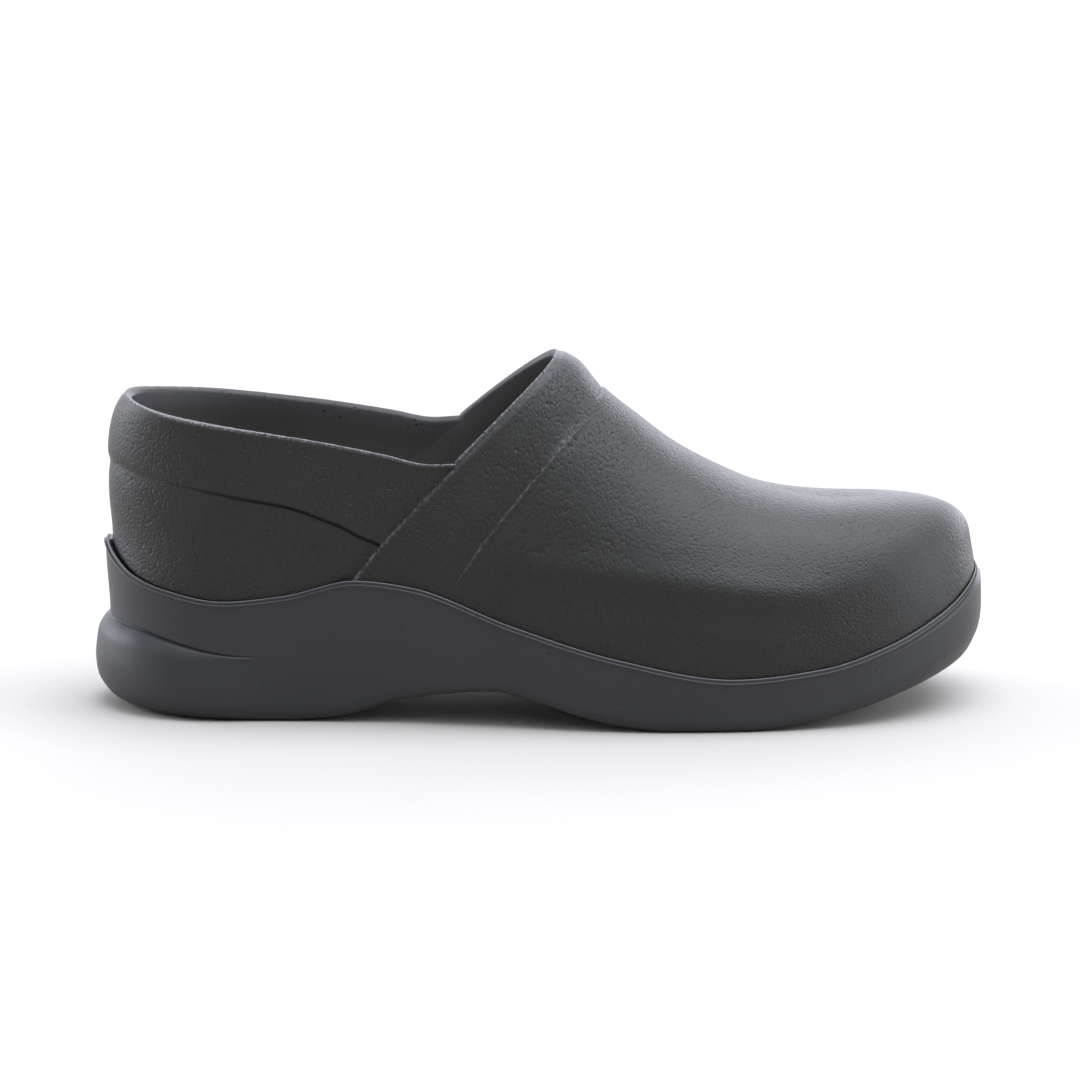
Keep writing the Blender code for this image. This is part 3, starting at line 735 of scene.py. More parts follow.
def distance_to(points, path):
    """Distance of each point to the nearest point of a path, worked out in slices."""
    slices = np.array_split(points, max(1, len(points) // 4000))
    return np.concatenate([
        np.linalg.norm(part[:, None] - path[None], axis=-1).min(axis=1) for part in slices
    ])


def smooth_noise(count, waves, seed):
    """Closed line of soft noise between about -1 and 1: a sum of sines with random heights and phases."""
    draw = np.random.default_rng(seed)
    turn = np.linspace(0, 2 * np.pi, count, endpoint=False)
    total = np.zeros(count)
    for wave in waves:
        total += draw.normal() * np.sin(wave * turn + draw.uniform(0, 2 * np.pi))
    return total / np.sqrt(len(waves))


def rim_rise(turn):
    """Height share of the trimmed rim at a turn from its outer to its inner edge: crisp, then round."""
    square = RIM_CRISP if turn < np.pi / 2 else RIM_SOFT
    return (1 - np.abs(np.cos(turn)) ** square) ** (1 / square)


def upper_shell(sizes):
    """The hollow upper: an outer skin, an inner skin inside it, a trimmed rim and a flat lower edge."""
    *outer_quarter, outer_rows = quarter_side(OUTER, sizes)
    *inner_quarter, inner_rows = quarter_side(INNER, sizes)
    quarter = [np.vstack((outer, inner[-2::-1])) for outer, inner in zip(outer_quarter, inner_quarter)]
    columns, rows = quarter[1].shape
    quarter_numbers = np.arange(columns * rows).reshape(columns, rows)

    outer_vamp = vamp_side(OUTER, outer_rows, sizes)
    inner_vamp = vamp_side(INNER, inner_rows, sizes)
    vamp = [np.hstack((outer, inner[:, -2::-1])) for outer, inner in zip(outer_vamp, inner_vamp)]
    lines, across = vamp[1].shape
    vamp_numbers = quarter_numbers.size + np.arange(lines * across).reshape(lines, across)
    vamp_numbers[0, :rows] = quarter_numbers[0]
    vamp_numbers[0, -rows:] = quarter_numbers[-1, ::-1]
    crest = across // 2
    vamp_numbers[-1, crest + 1:] = vamp_numbers[-1, :crest][::-1]

    points = np.vstack((quarter[0].reshape(-1, 3), vamp[0].reshape(-1, 3)))
    relief, groove, edge = (
        np.concatenate((behind.ravel(), ahead.ravel())) for behind, ahead in zip(quarter[1:], vamp[1:])
    )
    skin = np.vstack((grid_faces(quarter_numbers[:, ::-1])[0], grid_faces(vamp_numbers)[0]))
    rim = np.concatenate((quarter_numbers[:, -1], vamp_numbers[0, rows:across - rows][::-1]))
    behind_rim = np.concatenate((quarter_numbers[:, -2], vamp_numbers[1, rows:across - rows][::-1]))
    base = np.concatenate((quarter_numbers[:, 0], vamp_numbers[1:, -1], vamp_numbers[1:-1, 0][::-1]))

    normal = vertex_normals(points, skin)
    from_rim = distance_to(points, points[rim])
    relief = relief * ease(from_rim, -0.0005, 0.0012)
    outside = points + normal * relief[:, None]
    inside = points - normal * sizes.wall
    outside[base, 2] = points[base, 2]
    inside[base, 2] = points[base, 2]
    count = len(points)

    off_edge = points[rim] - points[behind_rim]
    off_edge /= np.linalg.norm(off_edge, axis=-1, keepdims=True)
    nicks = smooth_noise(len(rim), range(31, 260, 13), seed=4)[:, None] * sizes.rim_wobble
    centre = (outside[rim] + inside[rim]) / 2
    radius = outside[rim] - centre
    rise = RIM_ROUND * sizes.wall
    arcs = [
        centre + radius * np.cos(turn) + off_edge * (rise * rim_rise(turn) + nicks * np.sin(turn))
        for turn in RIM_TURNS
    ]
    arc_numbers = 2 * count + np.arange(len(arcs) * len(rim)).reshape(len(arcs), -1)
    loops = np.vstack((rim, arc_numbers, count + rim))
    rim_faces = grid_faces(np.hstack((loops, loops[:, :1])))[0]
    base_faces = closed_strip(count + base, base)[0]
    faces = np.vstack((skin, count + skin[:, ::-1], rim_faces, base_faces))

    lengths = (count, count, arc_numbers.size)
    close = bell(from_rim, NEAR_RIM)

    def spread(*parts):
        """Values of the outer skin, the inner skin and the rim, one after another."""
        return np.concatenate([np.broadcast_to(part, length) for part, length in zip(parts, lengths)])

    masks = {
        "rim": spread(0, 0, np.repeat(bell(RIM_TURNS - RUBBED_TURN, RUBBED_TURN), len(rim))),
        "near_rim": spread(close, close, 1),
        "inside": spread(0, 1, np.repeat(ease(RIM_TURNS, *INSIDE_TURNS), len(rim))),
        "groove": spread(groove, 0, 0),
        # `edge` holds the painted highlights along the vamp's back edge and the second line
        "edge": spread(edge, 0, 0),
    }
    return np.vstack([outside, inside] + arcs), faces, NO_TRIANGLES, masks


def both_sides(angles, inset):
    """Plan of closed rings inside the lip: out along the outer side and back along the inner one."""
    outer = plan(angles, OUTER, inset)
    inner = plan(angles, INNER, inset)
    return np.concatenate((outer, inner[..., -2:0:-1, :]), axis=-2)


def looped(values):
    """Values along the shoe, as they come around a closed ring."""
    return np.concatenate((values, values[..., -2:0:-1]), axis=-1)


def rings(angles, inset, height):
    """Grid of closed rings, one for each row of insets, at heights given around the ring."""
    flat = both_sides(angles, inset)
    height = np.broadcast_to(height, flat.shape[:-1])
    return np.concatenate((flat, height[..., None]), axis=-1)


def across_grid(angles, ring, ring_numbers, first, rows):
    """Grid across the shoe inside a ring: new points, and numbers with the ring's own at the edges."""
    stations = len(angles)
    outer = np.arange(stations)
    inner = np.concatenate(([0], np.arange(len(ring) - 1, stations - 1, -1), [stations - 1]))
    share = np.linspace(0, 1, rows + 2)[1:-1]
    points = ring[outer][:, None] * (1 - share)[:, None] + ring[inner][:, None] * share[:, None]
    level = ease(share, 0, EVEN_EDGE) * ease(1 - share, 0, EVEN_EDGE)
    place = place_at(angles)
    even_x = place[:, None] * LIP_LENGTH
    body = ease(place, *EVEN_START) * (1 - ease(place, *EVEN_END))
    points[..., 0] += (even_x - points[..., 0]) * level * body[:, None]
    numbers = first + np.arange(stations * rows).reshape(stations, rows)
    numbers[0] = ring_numbers[0]
    numbers[-1] = ring_numbers[stations - 1]
    edges = ring_numbers[outer][:, None], ring_numbers[inner][:, None]
    return points, np.hstack((edges[0], numbers, edges[1]))


def stacked(*grids):
    """Points of grids, one grid after another."""
    return np.vstack([grid.reshape(-1, 3) for grid in grids])


def capped_rings(angles, grid, bottom_rows, top_rows):
    """Closed rings with a grid across the shoe at each end: both grids' points, quads and triangles."""
    numbers = np.arange(grid[..., 0].size).reshape(grid.shape[:2])
    under, under_numbers = across_grid(angles, grid[0], numbers[0], numbers.size, bottom_rows)
    first = numbers.size + under[..., 0].size
    over, over_numbers = across_grid(angles, grid[-1], numbers[-1], first, top_rows)
    sheets = (np.hstack((numbers, numbers[:, :1]))[:, ::-1], under_numbers, over_numbers[:, ::-1])
    quads, triangles = (np.vstack(faces) for faces in zip(*map(grid_faces, sheets)))
    return under, over, quads, triangles


def tread_bars(sizes):
    """The tread's bars, and the fine cut in each land between them: middle, width, depth and both ends."""
    bars = []
    for start in np.concatenate([np.arange(*span, GROOVE_PITCH) for span in (HEEL_TREAD, BALL_TREAD)]):
        angle = angle_at(np.array([start / LIP_LENGTH]))
        margin = TREAD_MARGIN + BACK_BAR_SHORT * (start < HEEL_TREAD[0] + GROOVE_PITCH / 2)
        low = lip_outline(angle, OUTER)[0, 1] + margin
        high = lip_outline(angle, INNER)[0, 1] - margin
        bars.append((start, GROOVE_WIDTH, GROOVE_DEPTH, low, high))
        bars.append((start + GROOVE_PITCH / 2, sizes.sipe_width, sizes.sipe_depth, low, high))
    return bars


def tread_relief(x, y, sizes):
    """Depth of the tread's round-ended bars at points of the underside, and how far a point is in one."""
    depth = np.zeros(x.shape)
    cut = np.zeros(x.shape)
    for middle_x, width, deep, low, high in tread_bars(sizes):
        inside = width / 2 - np.hypot(x - middle_x, y - np.clip(y, low, high))
        bar = ease(inside, -sizes.tread_soft / 2, sizes.tread_soft / 2)
        depth = np.maximum(depth, deep * bar)
        cut = np.maximum(cut, bar)
    return depth, cut


def sole_angles(sizes):
    """Stations along the sole: even in angle, with more at the walls of the tread's bars."""
    half = np.array([-1, 0, 1]) * sizes.tread_soft / 2
    angles = [np.linspace(0, np.pi, SOLE_STATIONS)]
    for middle_x, width, *_ in tread_bars(sizes):
        angles += [angle_at((middle_x + wall + half) / LIP_LENGTH) for wall in (-width / 2, width / 2)]
    angles = np.sort(np.concatenate(angles))
    return angles[np.append(True, np.diff(angles) > SAME_STATION)]


def sole_insets(angles):
    """Insets and the height shares of the sole's side, rows up by stations along."""
    rows = np.linspace(0, SOLE_SIDE["row"][-1], SIDE_ROWS)[:, None]
    step = {name: between(SOLE_SIDE, "row", name, rows) for name in SOLE_SIDE}
    end = np.abs(np.cos(angles)) ** END_FADE
    edge_inset = EDGE_INSET + (END_INSET - EDGE_INSET) * end
    place = place_at(angles)
    tier = 1 - ease(place, *TIER_END)
    crease = bell(step["rise"] - CREASE_RISE, CREASE_WIDE) * between(TIER_LINE, "place", "cut", place)
    toe = np.clip(-np.cos(angles), 0, 1) ** END_FADE
    narrow = SIDE_TAPER - TOE_BUMPER * toe
    inset = step["out"] * edge_inset - step["tier"] * TIER_PROUD * tier + step["taper"] * narrow
    waist = ease(step["rise"], WAIST_RISE, CREASE_RISE) * (1 - ease(step["rise"], CREASE_RISE, 1.0))
    inset = inset + CREASE_DEPTH * crease + HEEL_WAIST * waist * (1 - ease(place, *WAIST_END))
    edge_rise = EDGE_RISE + (END_RISE - EDGE_RISE) * end + TOE_ROUND * toe
    lift = between(TIER_LINE, "place", "lift", place)
    lifted = step["rise"] + lift * np.sin(np.pi * step["rise"])
    return inset, step["up"] * looped(edge_rise), looped(lifted), looped(edge_rise), looped(crease)


def sole_body(sizes):
    """The sole: its side from rings, its lip and recess, and the tread and the recess floor across it."""
    angles = sole_angles(sizes)
    place = place_at(angles)
    lip = looped(lip_height(place))
    inset, risen, rise, edge_rise, crease = sole_insets(angles)
    tread = tread_height(both_sides(angles, inset[0])[:, 0])
    wall_top = lip - LIP_BEAD
    side = rings(angles, inset, tread + risen + rise * (wall_top - tread - edge_rise))

    flare = sizes.toe_gap * ease(place, 0.90, 1.0)
    top = [
        rings(angles, share * (LIP_PROUD - flare), lip - drop * LIP_BEAD)
        for share, drop in zip(LIP_TOP["inset"], LIP_TOP["drop"])
    ]
    ledge = lip - LIP_RISE
    ledge_end = LIP_PROUD + sizes.wall + 2 * FOOTBED_GAP
    floor = looped(footbed_top(place)) - FOOTBED - FIT
    even = np.ones(len(angles))
    steps = np.linspace(0, 1, 9)[:, None]
    inner = [
        rings(angles, LIP_PROUD - LIP_GAP - flare, ledge),
        rings(angles, ledge_end * even, ledge),
        *rings(angles, (ledge_end + FIT * steps[1:]) * even, ledge + (floor - ledge) * steps[1:]),
    ]
    grid = np.concatenate((side, np.stack(top + inner)))
    under, seat, quads, triangles = capped_rings(angles, grid, TREAD_ROWS, FLOOR_ROWS)
    depth, cut = tread_relief(under[..., 0], under[..., 1], sizes)
    under[..., 2] = tread_height(under[..., 0]) + depth
    seat[..., 2] = footbed_top(seat[..., 0] / LIP_LENGTH) - FOOTBED - FIT

    # The lip's rows get painted highlight on its beads (`shine`) and painted shade in its groove; the side's
    # crease and the tread's cuts get painted shade too (`tread`)
    lip_rows = np.zeros(grid.shape[:2])
    lip_rows[len(side):len(side) + len(top)] = LIP_TOP["shine"][:, None]
    grooves = np.clip(-lip_rows, 0, 1)
    grooves[:len(side)] = crease
    beyond = np.zeros(seat[..., 0].size)
    masks = {
        "tread": np.concatenate((grooves.ravel(), cut.ravel(), beyond)),
        "under": np.concatenate((np.zeros(lip_rows.size), np.ones(cut.size), beyond)),
        "shine": np.concatenate((np.clip(lip_rows, 0, 1).ravel(), np.zeros(cut.size), beyond)),
    }
    return stacked(grid, under, seat), quads, triangles, masks


def footbed_body(sizes):
    """The footbed: a slab with a round top edge, dished at the heel and with a low ridge under the toes."""
    angles = np.linspace(0, np.pi, SOLE_STATIONS // 2)
    place = place_at(angles)
    edge = LIP_PROUD + sizes.wall + 3 * FOOTBED_GAP + FIT
    top = looped(footbed_top(place))
    turn = np.linspace(0, np.pi / 2, 7)[:, None]
    inset = edge + FOOTBED_ROUND * (1 - np.cos(turn)) * np.ones(len(angles))
    side = rings(angles, inset, top - FOOTBED_ROUND * (1 - np.sin(turn)))
    bottom = rings(angles, edge * np.ones(len(angles)), top - FOOTBED)
    grid = np.concatenate((bottom[None], side))
    under, over, quads, triangles = capped_rings(angles, grid, FLOOR_ROWS, 2 * FLOOR_ROWS)
    under[..., 2] = footbed_top(under[..., 0] / LIP_LENGTH) - FOOTBED
    across = np.sin(np.pi * np.linspace(0, 1, 2 * FLOOR_ROWS + 2)[1:-1])
    dip = across ** 1.5 * (1 - ease(over[..., 0], *DISH_END)) * sizes.heel_dish
    bow = RIDGE_BOW * (over[..., 1] - RIDGE_MIDDLE) ** 2
    ridge = across * bell(over[..., 0] - RIDGE_PLACE - bow, RIDGE_WIDE) * sizes.toe_ridge
    over[..., 2] = footbed_top(over[..., 0] / LIP_LENGTH) - dip + ridge
    return stacked(grid, under, over), quads, triangles, {}


def layout_origin():
    """The part's origin in the layout, from the packed sole's corner at the back of the heel and the ball."""
    widest = SOLE_SIDE["tier"].argmax()
    backmost = SOLE_SIDE["taper"][widest] * SIDE_TAPER - TIER_PROUD
    return np.array([backmost - SOLE_LOW.x, -OUTER.ball - SOLE_LOW.y, 0.0])


def make_piece(name, node, body, finish):
    """A mesh at the origin, its faces outwards, with an attribute for each mask; it stands for a node."""
    scene = bpy.context.scene
    points, quads, triangles, masks = body(scene.clog_sizes)
    used = np.unique(np.concatenate((quads.ravel(), triangles.ravel())))
    renumber = np.zeros(len(points), dtype=int)
    renumber[used] = np.arange(len(used))
    points = points - layout_origin()
    mesh = bpy.data.meshes.new(name)
    mesh.from_pydata(points[used], [], renumber[quads].tolist() + renumber[triangles].tolist())
    corner = points[quads]
    turned = np.cross(corner[:, 1], corner[:, 2]) + np.cross(corner[:, 2], corner[:, 3])
    if np.einsum("ij,ij->", corner[:, 0], turned) < 0:
        mesh.flip_normals()
    for mask, values in masks.items():
        layer = mesh.attributes.new(mask, "FLOAT", "POINT")
        layer.data.foreach_set("value", values[used].astype(np.float32))
    mesh.shade_smooth()
    mesh.update()
    mesh.materials.append(finish(scene.clog_finish))
    piece = bpy.data.objects.new(name, mesh)
    scene.collection.objects.link(piece)
    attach(piece, "root")
    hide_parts(node)
    return piece


class Wire:
    """A socket of a shader; arithmetic on it adds Math nodes."""

    def __init__(self, nodes, socket):
        self.nodes = nodes
        self.socket = socket

    def math(self, operation, first, second):
        return self.nodes.node("ShaderNodeMath", {"operation": operation}, {0: first, 1: second})

    def __add__(self, other):
        return self.math("ADD", self, other)

    def __sub__(self, other):
        return self.math("SUBTRACT", self, other)

    def __rsub__(self, other):
        return self.math("SUBTRACT", other, self)

    def __mul__(self, other):
        return self.math("MULTIPLY", self, other)

    def __pow__(self, other):
        return self.math("POWER", self, other)

    __radd__ = __add__

    def larger(self, other):
        """The larger of two values."""
        return self.math("MAXIMUM", self, other)

    def above(self, start, end):
        """Soft mask from 0 at `start` to 1 at `end`."""
        settings = {"interpolation_type": "SMOOTHSTEP"}
        return self.nodes.node("ShaderNodeMapRange", settings, {0: self, 1: start, 2: end})


class Nodes:
    """The nodes of a material or of the room."""

    def __init__(self, tree):
        self.tree = tree

    def node(self, kind, settings=None, inputs=None, output=0):
        """A node with its settings set first, then its inputs' values or links."""
        node = self.tree.nodes.new(kind)
        for name, value in (settings or {}).items():
            setattr(node, name, value)
        for name, value in (inputs or {}).items():
            self.feed(node.inputs[name], value)
        return Wire(self, node.outputs[output])

    def feed(self, socket, value):
        """Links a wire to a socket, or sets its value."""
        if isinstance(value, Wire):
            self.tree.links.new(value.socket, socket)
        else:
            socket.default_value = value

    def axis(self, at, name):
        """One of the coordinates' X, Y and Z."""
        return self.node("ShaderNodeSeparateXYZ", None, {0: at}, name)


class Paint(Nodes):
    """A material under construction, with the part's own coordinates."""

    def __init__(self, name):
        self.material = bpy.data.materials.new(name)
        self.material.use_nodes = True
        super().__init__(self.material.node_tree)
        self.place = self.node("ShaderNodeTexCoord", output="Object")

    def mask(self, name):
        """One of the piece's own attributes."""
        return self.node("ShaderNodeAttribute", {"attribute_name": name}, output="Fac")

    def noise(self, scale, detail=2.0, roughness=0.5, at=None, output="Fac"):
        """Soft noise from 0 to 1, in cells of 1 / scale."""
        inputs = {"Vector": at or self.place, "Scale": scale, "Detail": detail, "Roughness": roughness}
        return self.node("ShaderNodeTexNoise", {"noise_dimensions": "3D"}, inputs, output)

    def cells(self, scale, at=None, feature="F1", **inputs):
        """Distance to the middles of cells of 1 / scale."""
        inputs = {"Vector": at or self.place, "Scale": scale, **inputs}
        return self.node("ShaderNodeTexVoronoi", {"feature": feature}, inputs, "Distance")

    def warped(self, at, scale, amount):
        """Coordinates pushed about by soft noise."""
        push = self.noise(scale, 1.0, at=at, output="Color")
        from_middle = {0: push, 1: (0.5, 0.5, 0.5)}
        push = self.node("ShaderNodeVectorMath", {"operation": "SUBTRACT"}, from_middle)
        moved = {0: push, 1: (amount, amount, amount), 2: at}
        return self.node("ShaderNodeVectorMath", {"operation": "MULTIPLY_ADD"}, moved)

    def turned(self, at, angle, stretch):
        """Coordinates turned about Y and stretched along their own axes."""
        inputs = {"Vector": at, "Rotation": (0.0, angle, 0.0), "Scale": stretch}
        return self.node("ShaderNodeMapping", {"vector_type": "TEXTURE"}, inputs)

    def blend(self, factor, first, second):
        """Value between two values."""
        return self.node("ShaderNodeMix", {"data_type": "FLOAT"}, {0: factor, 2: first, 3: second})

    def tint(self, factor, first, second):
        """Colour between two colours."""
        return self.node("ShaderNodeMix", {"data_type": "RGBA"}, {0: factor, 6: first, 7: second}, 2)

    def bump(self, height, distance, under=None):
        """Normal of a relief as high as the distance, over another one."""
        inputs = {"Height": height, "Distance": distance, "Strength": 1.0}
        if under is not None:
            inputs["Normal"] = under
        return self.node("ShaderNodeBump", None, inputs)

    def finish(self, **inputs):
        """Feeds the shader's sockets, named with _ for a space."""
        sockets = self.tree.nodes["Principled BSDF"].inputs
        for name, value in inputs.items():
            self.feed(sockets[name.replace("_", " ").title().replace("Ior", "IOR")], value)
        return self.material


def solid(color):
    """A colour with its alpha."""
    return (*color, 1.0)


def upper_finish(finish):
    """Charcoal moulded foam with a pebbled grain and a pale trimmed rim; painted shade between the pebbles,
    in the seam, the pits and inside the heel, and painted light on the panels' edges and the inner wall near
    the rim.
    """
    paint = Paint("upper")
    rim, near_rim, inside = paint.mask("rim"), paint.mask("near_rim"), paint.mask("inside")
    groove, edge = paint.mask("groove"), paint.mask("edge")
    x, y = paint.axis(paint.place, "X"), paint.axis(paint.place, "Y")

    scale = 1 / finish.grain_size
    soft = paint.warped(paint.place, 210.0, 0.0012)
    pebbles = paint.cells(scale, soft)
    drawn = paint.turned(soft, np.radians(8), (0.75, 1.0, 1.70))
    long_pebbles = paint.cells(scale, drawn)
    fine_pebbles = paint.cells(scale * 1.4, soft)
    near_band = x.above(*BAND_START) * (1 - x.above(*BAND_END))
    toe = x.above(*TOE_START)
    cells = paint.blend(near_band, pebbles, long_pebbles)
    top = 1 - (y * y).above(*TOP_SIDE)
    cells = paint.blend(toe * (0.8 - top * 0.6), cells, fine_pebbles)
    wrinkles = paint.noise(1100.0, 3.0, 0.6)
    height = (1 - cells ** 3.0 * 2.0) * 0.8 + wrinkles * 0.3
    smooth_parts = (1 - inside * 0.85) * (1 - rim)
    flank = (y * y).above(*FLANK_SIDE) * x.above(*FLANK_START)
    quarter = 1 - x.above(*QUARTER_END)
    back = 1 - x.above(*BACK_END)
    calm = (1 - flank * 0.40) * (1 - near_rim ** 3.0 * 0.85) * (1 - edge * 0.5)
    crest = (1 - (y * y).above(*CREST_SIDE)) * x.above(*CREST_START) * (1 - toe * 0.5)
    tip = x.above(*TIP_START)
    calm = calm * (1 - tip * 0.60) * (1 - quarter * 0.22) * (1 - back * 0.45) * (1 + crest * 0.8)
    height = height * smooth_parts * calm * (0.55 + paint.noise(48.0, 1.0) * 0.9)
    trimmed = paint.noise(1500.0, 3.0, 0.7)
    pits = paint.cells(330.0).above(0.16, 0.07) * (near_rim - 0.25).above(0.0, 0.2)
    pits = pits * paint.noise(120.0, 0.0).above(0.51, 0.58)

    normal = paint.bump(paint.noise(110.0, 1.0), 0.00012)
    normal = paint.bump(height, finish.grain_height, normal)
    normal = paint.bump(trimmed * rim - pits, 0.00030, normal)

    # Painted shade in the hollows between the pebbles, laid on the colour below
    painted_shade = (cells - 0.50).above(0.0, 0.35) * smooth_parts
    mottle = paint.noise(24.0, 3.0)
    color = paint.tint(mottle, solid(finish.upper_dark), solid(finish.upper_light))
    # Inside tone: partly the lining's own paler tone, partly painted light standing in for the light that
    # falls into the shoe
    color = paint.tint(inside, color, solid(finish.inside))
    # Painted shade on the inner wall towards the heel
    color = paint.tint(inside * (1 - x.above(*SHADE_END)) * 0.35, color, solid(finish.painted_shade))
    # Painted light: the inner wall lighter near the rim
    color = paint.tint(inside * near_rim * 0.45, color, solid(finish.painted_highlight))
    # Painted shade between the pebbles
    color = paint.tint(painted_shade * 0.5, color, solid(finish.painted_shade))
    # Painted highlights along the panels' edges and the second line, broken up by noise
    painted_highlight = edge * (0.15 + paint.noise(620.0, 2.0, 0.7).above(0.46, 0.59) * 0.85)
    color = paint.tint(painted_highlight * 0.52, color, solid(finish.painted_highlight))
    flecks = trimmed.above(0.50, 0.62)
    color = paint.tint(rim * (0.20 + flecks * 0.65), color, solid(finish.rim))
    # Painted shade in the counter seam's groove and in the pits below the rim
    color = paint.tint((groove * 0.6).larger(pits), color, solid(finish.painted_shade))
    roughness = 0.40 + wrinkles * 0.14 + rim * 0.2 + inside * 0.15 + groove * 0.2 - toe * 0.04
    return paint.finish(base_color=color, roughness=roughness, normal=normal, specular_ior_level=0.33)


def sole_finish(finish):
    """Charcoal moulded foam with a smooth satin skin, a little dusty in its corners, with painted highlights
    on the lip's beads and painted shade in the lip's groove, the heel's crease and the tread's cuts.
    """
    paint = Paint("sole")
    shine, tread, under = paint.mask("shine"), paint.mask("tread"), paint.mask("under")
    skin = paint.noise(420.0, 3.0, 0.55)
    swell = paint.noise(60.0, 2.0)
    fine = paint.noise(2400.0, 2.0)
    normal = paint.bump(swell, 0.00018)
    normal = paint.bump(skin, 0.00004, normal)
    normal = paint.bump(fine, 0.00002, normal)
    mottle = paint.noise(18.0, 3.0)
    color = paint.tint(mottle, solid(finish.sole_dark), solid(finish.sole_light))
    dust = paint.cells(260.0).above(0.075, 0.03) * paint.noise(45.0, 0.0).above(0.56, 0.66)
    color = paint.tint(dust * 0.15, color, solid(finish.rim))
    # Painted highlights on the lip's beads
    color = paint.tint(shine * 0.4, color, solid(finish.painted_highlight))
    # Painted shade in the lip's groove, the heel's crease and the tread's cuts
    color = paint.tint(tread * 0.5, color, solid(finish.painted_shade))
    scuffed = under * paint.noise(70.0, 4.0, 0.7).above(0.45, 0.7) * (1 - tread)
    roughness = 0.40 + skin * 0.10 + mottle * 0.05 + scuffed * 0.2 - shine * 0.06
    return paint.finish(base_color=color, roughness=roughness, normal=normal, specular_ior_level=0.4)


def footbed_finish(finish):
    """Dark foam with a fine matt cover, in small dimples."""
    paint = Paint("insole")
    dimples = paint.cells(420.0, feature="SMOOTH_F1", Smoothness=0.3)
    nap = paint.noise(2200.0, 3.0, 0.7)
    normal = paint.bump(dimples, 0.00022)
    normal = paint.bump(nap, 0.00008, normal)
    color = paint.tint(nap, solid(finish.footbed_dark), solid(finish.footbed_light))
    roughness = 0.78 + nap * 0.12
    return paint.finish(base_color=color, roughness=roughness, normal=normal, specular_ior_level=0.3)


def floor_finish(finish):
    """Plain pale studio floor, quite matt."""
    paint = Paint("studio_floor")
    return paint.finish(base_color=solid(finish.floor), roughness=0.9, specular_ior_level=0.1)


def length(name, description, default):
    """A size in metres, as a property."""
    return FloatProperty(name=name, description=description, default=default, min=0.0, unit="LENGTH",
                         precision=5)


def color(name, description, default):
    """A colour, as a property."""
    return FloatVectorProperty(name=name, description=description, default=default, size=3, min=0.0,
                               max=1.0, subtype="COLOR")


def direction(name, description, default):
    """An angle in degrees, as a property."""
    return FloatProperty(name=name, description=description, default=np.radians(default), unit="ROTATION",
                         subtype="ANGLE")


def strength(name, description, default):
    """A light's strength, as a property."""
    return FloatProperty(name=name, description=description, default=default, min=0.0)


class ClogSizes(bpy.types.PropertyGroup):
    """Sizes of the pieces' details."""
    wall: length("Wall", "Thickness of the upper's wall", 0.0034)
    panel_step: length("Band step", "How far the vamp's band stands above the quarter", 0.0013)
    second_step: length("Vamp step", "How far the vamp stands above its band", 0.0005)
    edge_round: length("Edge round", "Radius of the panels' edges", 0.0019)
    line_wander: length("Line wander", "How far the second line strays from its curve", 0.00022)
    line_dent: length("Line dent", "Depth of the dents along the second line", 0.00035)
    edge_ridge: length("Edge ridge", "Height of the fine ridge along the panels' edges", 0.00018)
    seam_depth: length("Seam depth", "Depth of the counter seam", 0.0008)
    seam_width: length("Seam width", "Width of the counter seam", 0.0010)
    seam_ridge: length("Seam ridge", "How far the collar stands above the counter", 0.0005)
    rim_wobble: length("Rim nicks", "Unevenness of the trimmed rim", 0.00005)
    shoulder_rise: length("Shoulder rise", "Height of the ridge along the forefoot's shoulder", 0.0010)
    shoulder_width: length("Shoulder width", "Half width of that ridge", 0.0055)
    heel_roll: length("Heel rolls", "Height of the collar's and the counter's rolls at the heel", 0.0005)
    toe_flare: length("Toe flare", "How far the upper's foot swings out at the toe", 0.0012)
    toe_gap: length("Toe gap", "How much the lip thins towards the toe's tip", 0.0010)
    tread_soft: length("Tread softness", "Width of the slope at the walls of the tread's bars", 0.0007)
    sipe_width: length("Sipe width", "Width of the fine cuts in the tread", 0.0012)
    sipe_depth: length("Sipe depth", "Depth of the fine cuts in the tread", 0.0008)
    heel_dish: length("Heel dish", "Depth of the dish under the heel", 0.0016)
    toe_ridge: length("Toe ridge", "Height of the ridge under the toes", 0.0014)


class ClogFinish(bpy.types.PropertyGroup):
    """Colours and grain of the pieces."""
    upper_dark: color("Upper dark", "Darker tone of the upper", (0.0128, 0.0130, 0.0102))
    upper_light: color("Upper light", "Lighter tone of the upper", (0.0187, 0.0188, 0.0162))
    # Lighter than the outer skin: partly the lining's own tone, partly painted light for the light that falls
    # into the shoe
    inside: color("Inside", "Tone of the wall inside the shoe", (0.112, 0.108, 0.097))
    # Painted shade colour: between the pebbles, in the seam, the pits, the lip's groove, the heel's crease,
    # the tread's cuts and inside the heel
    painted_shade: color("Valleys", "Tone in grooves and between the pebbles", (0.006, 0.006, 0.006))
    # Painted highlight colour: on the panels' edges, the second line, the lip's beads and the inner wall near
    # the rim
    painted_highlight: color("Painted highlights", "Tone of the panels' edges and the lip's beads", (0.200, 0.205, 0.215))
    rim: color("Rim", "Pale flecks of the trimmed rim", (0.38, 0.38, 0.41))
    sole_dark: color("Sole dark", "Darker tone of the sole", (0.018, 0.019, 0.020))
    sole_light: color("Sole light", "Lighter tone of the sole", (0.026, 0.027, 0.028))
    footbed_dark: color("Footbed dark", "Darker tone of the footbed", (0.020, 0.020, 0.020))
    footbed_light: color("Footbed light", "Lighter tone of the footbed", (0.034, 0.034, 0.035))
    floor: color("Floor", "Tone of the studio's floor", (0.410, 0.395, 0.365))
    grain_size: length("Grain size", "Width of one pebble of the grain", 0.00102)
    grain_height: length("Grain height", "Height of the pebbles", 0.00021)


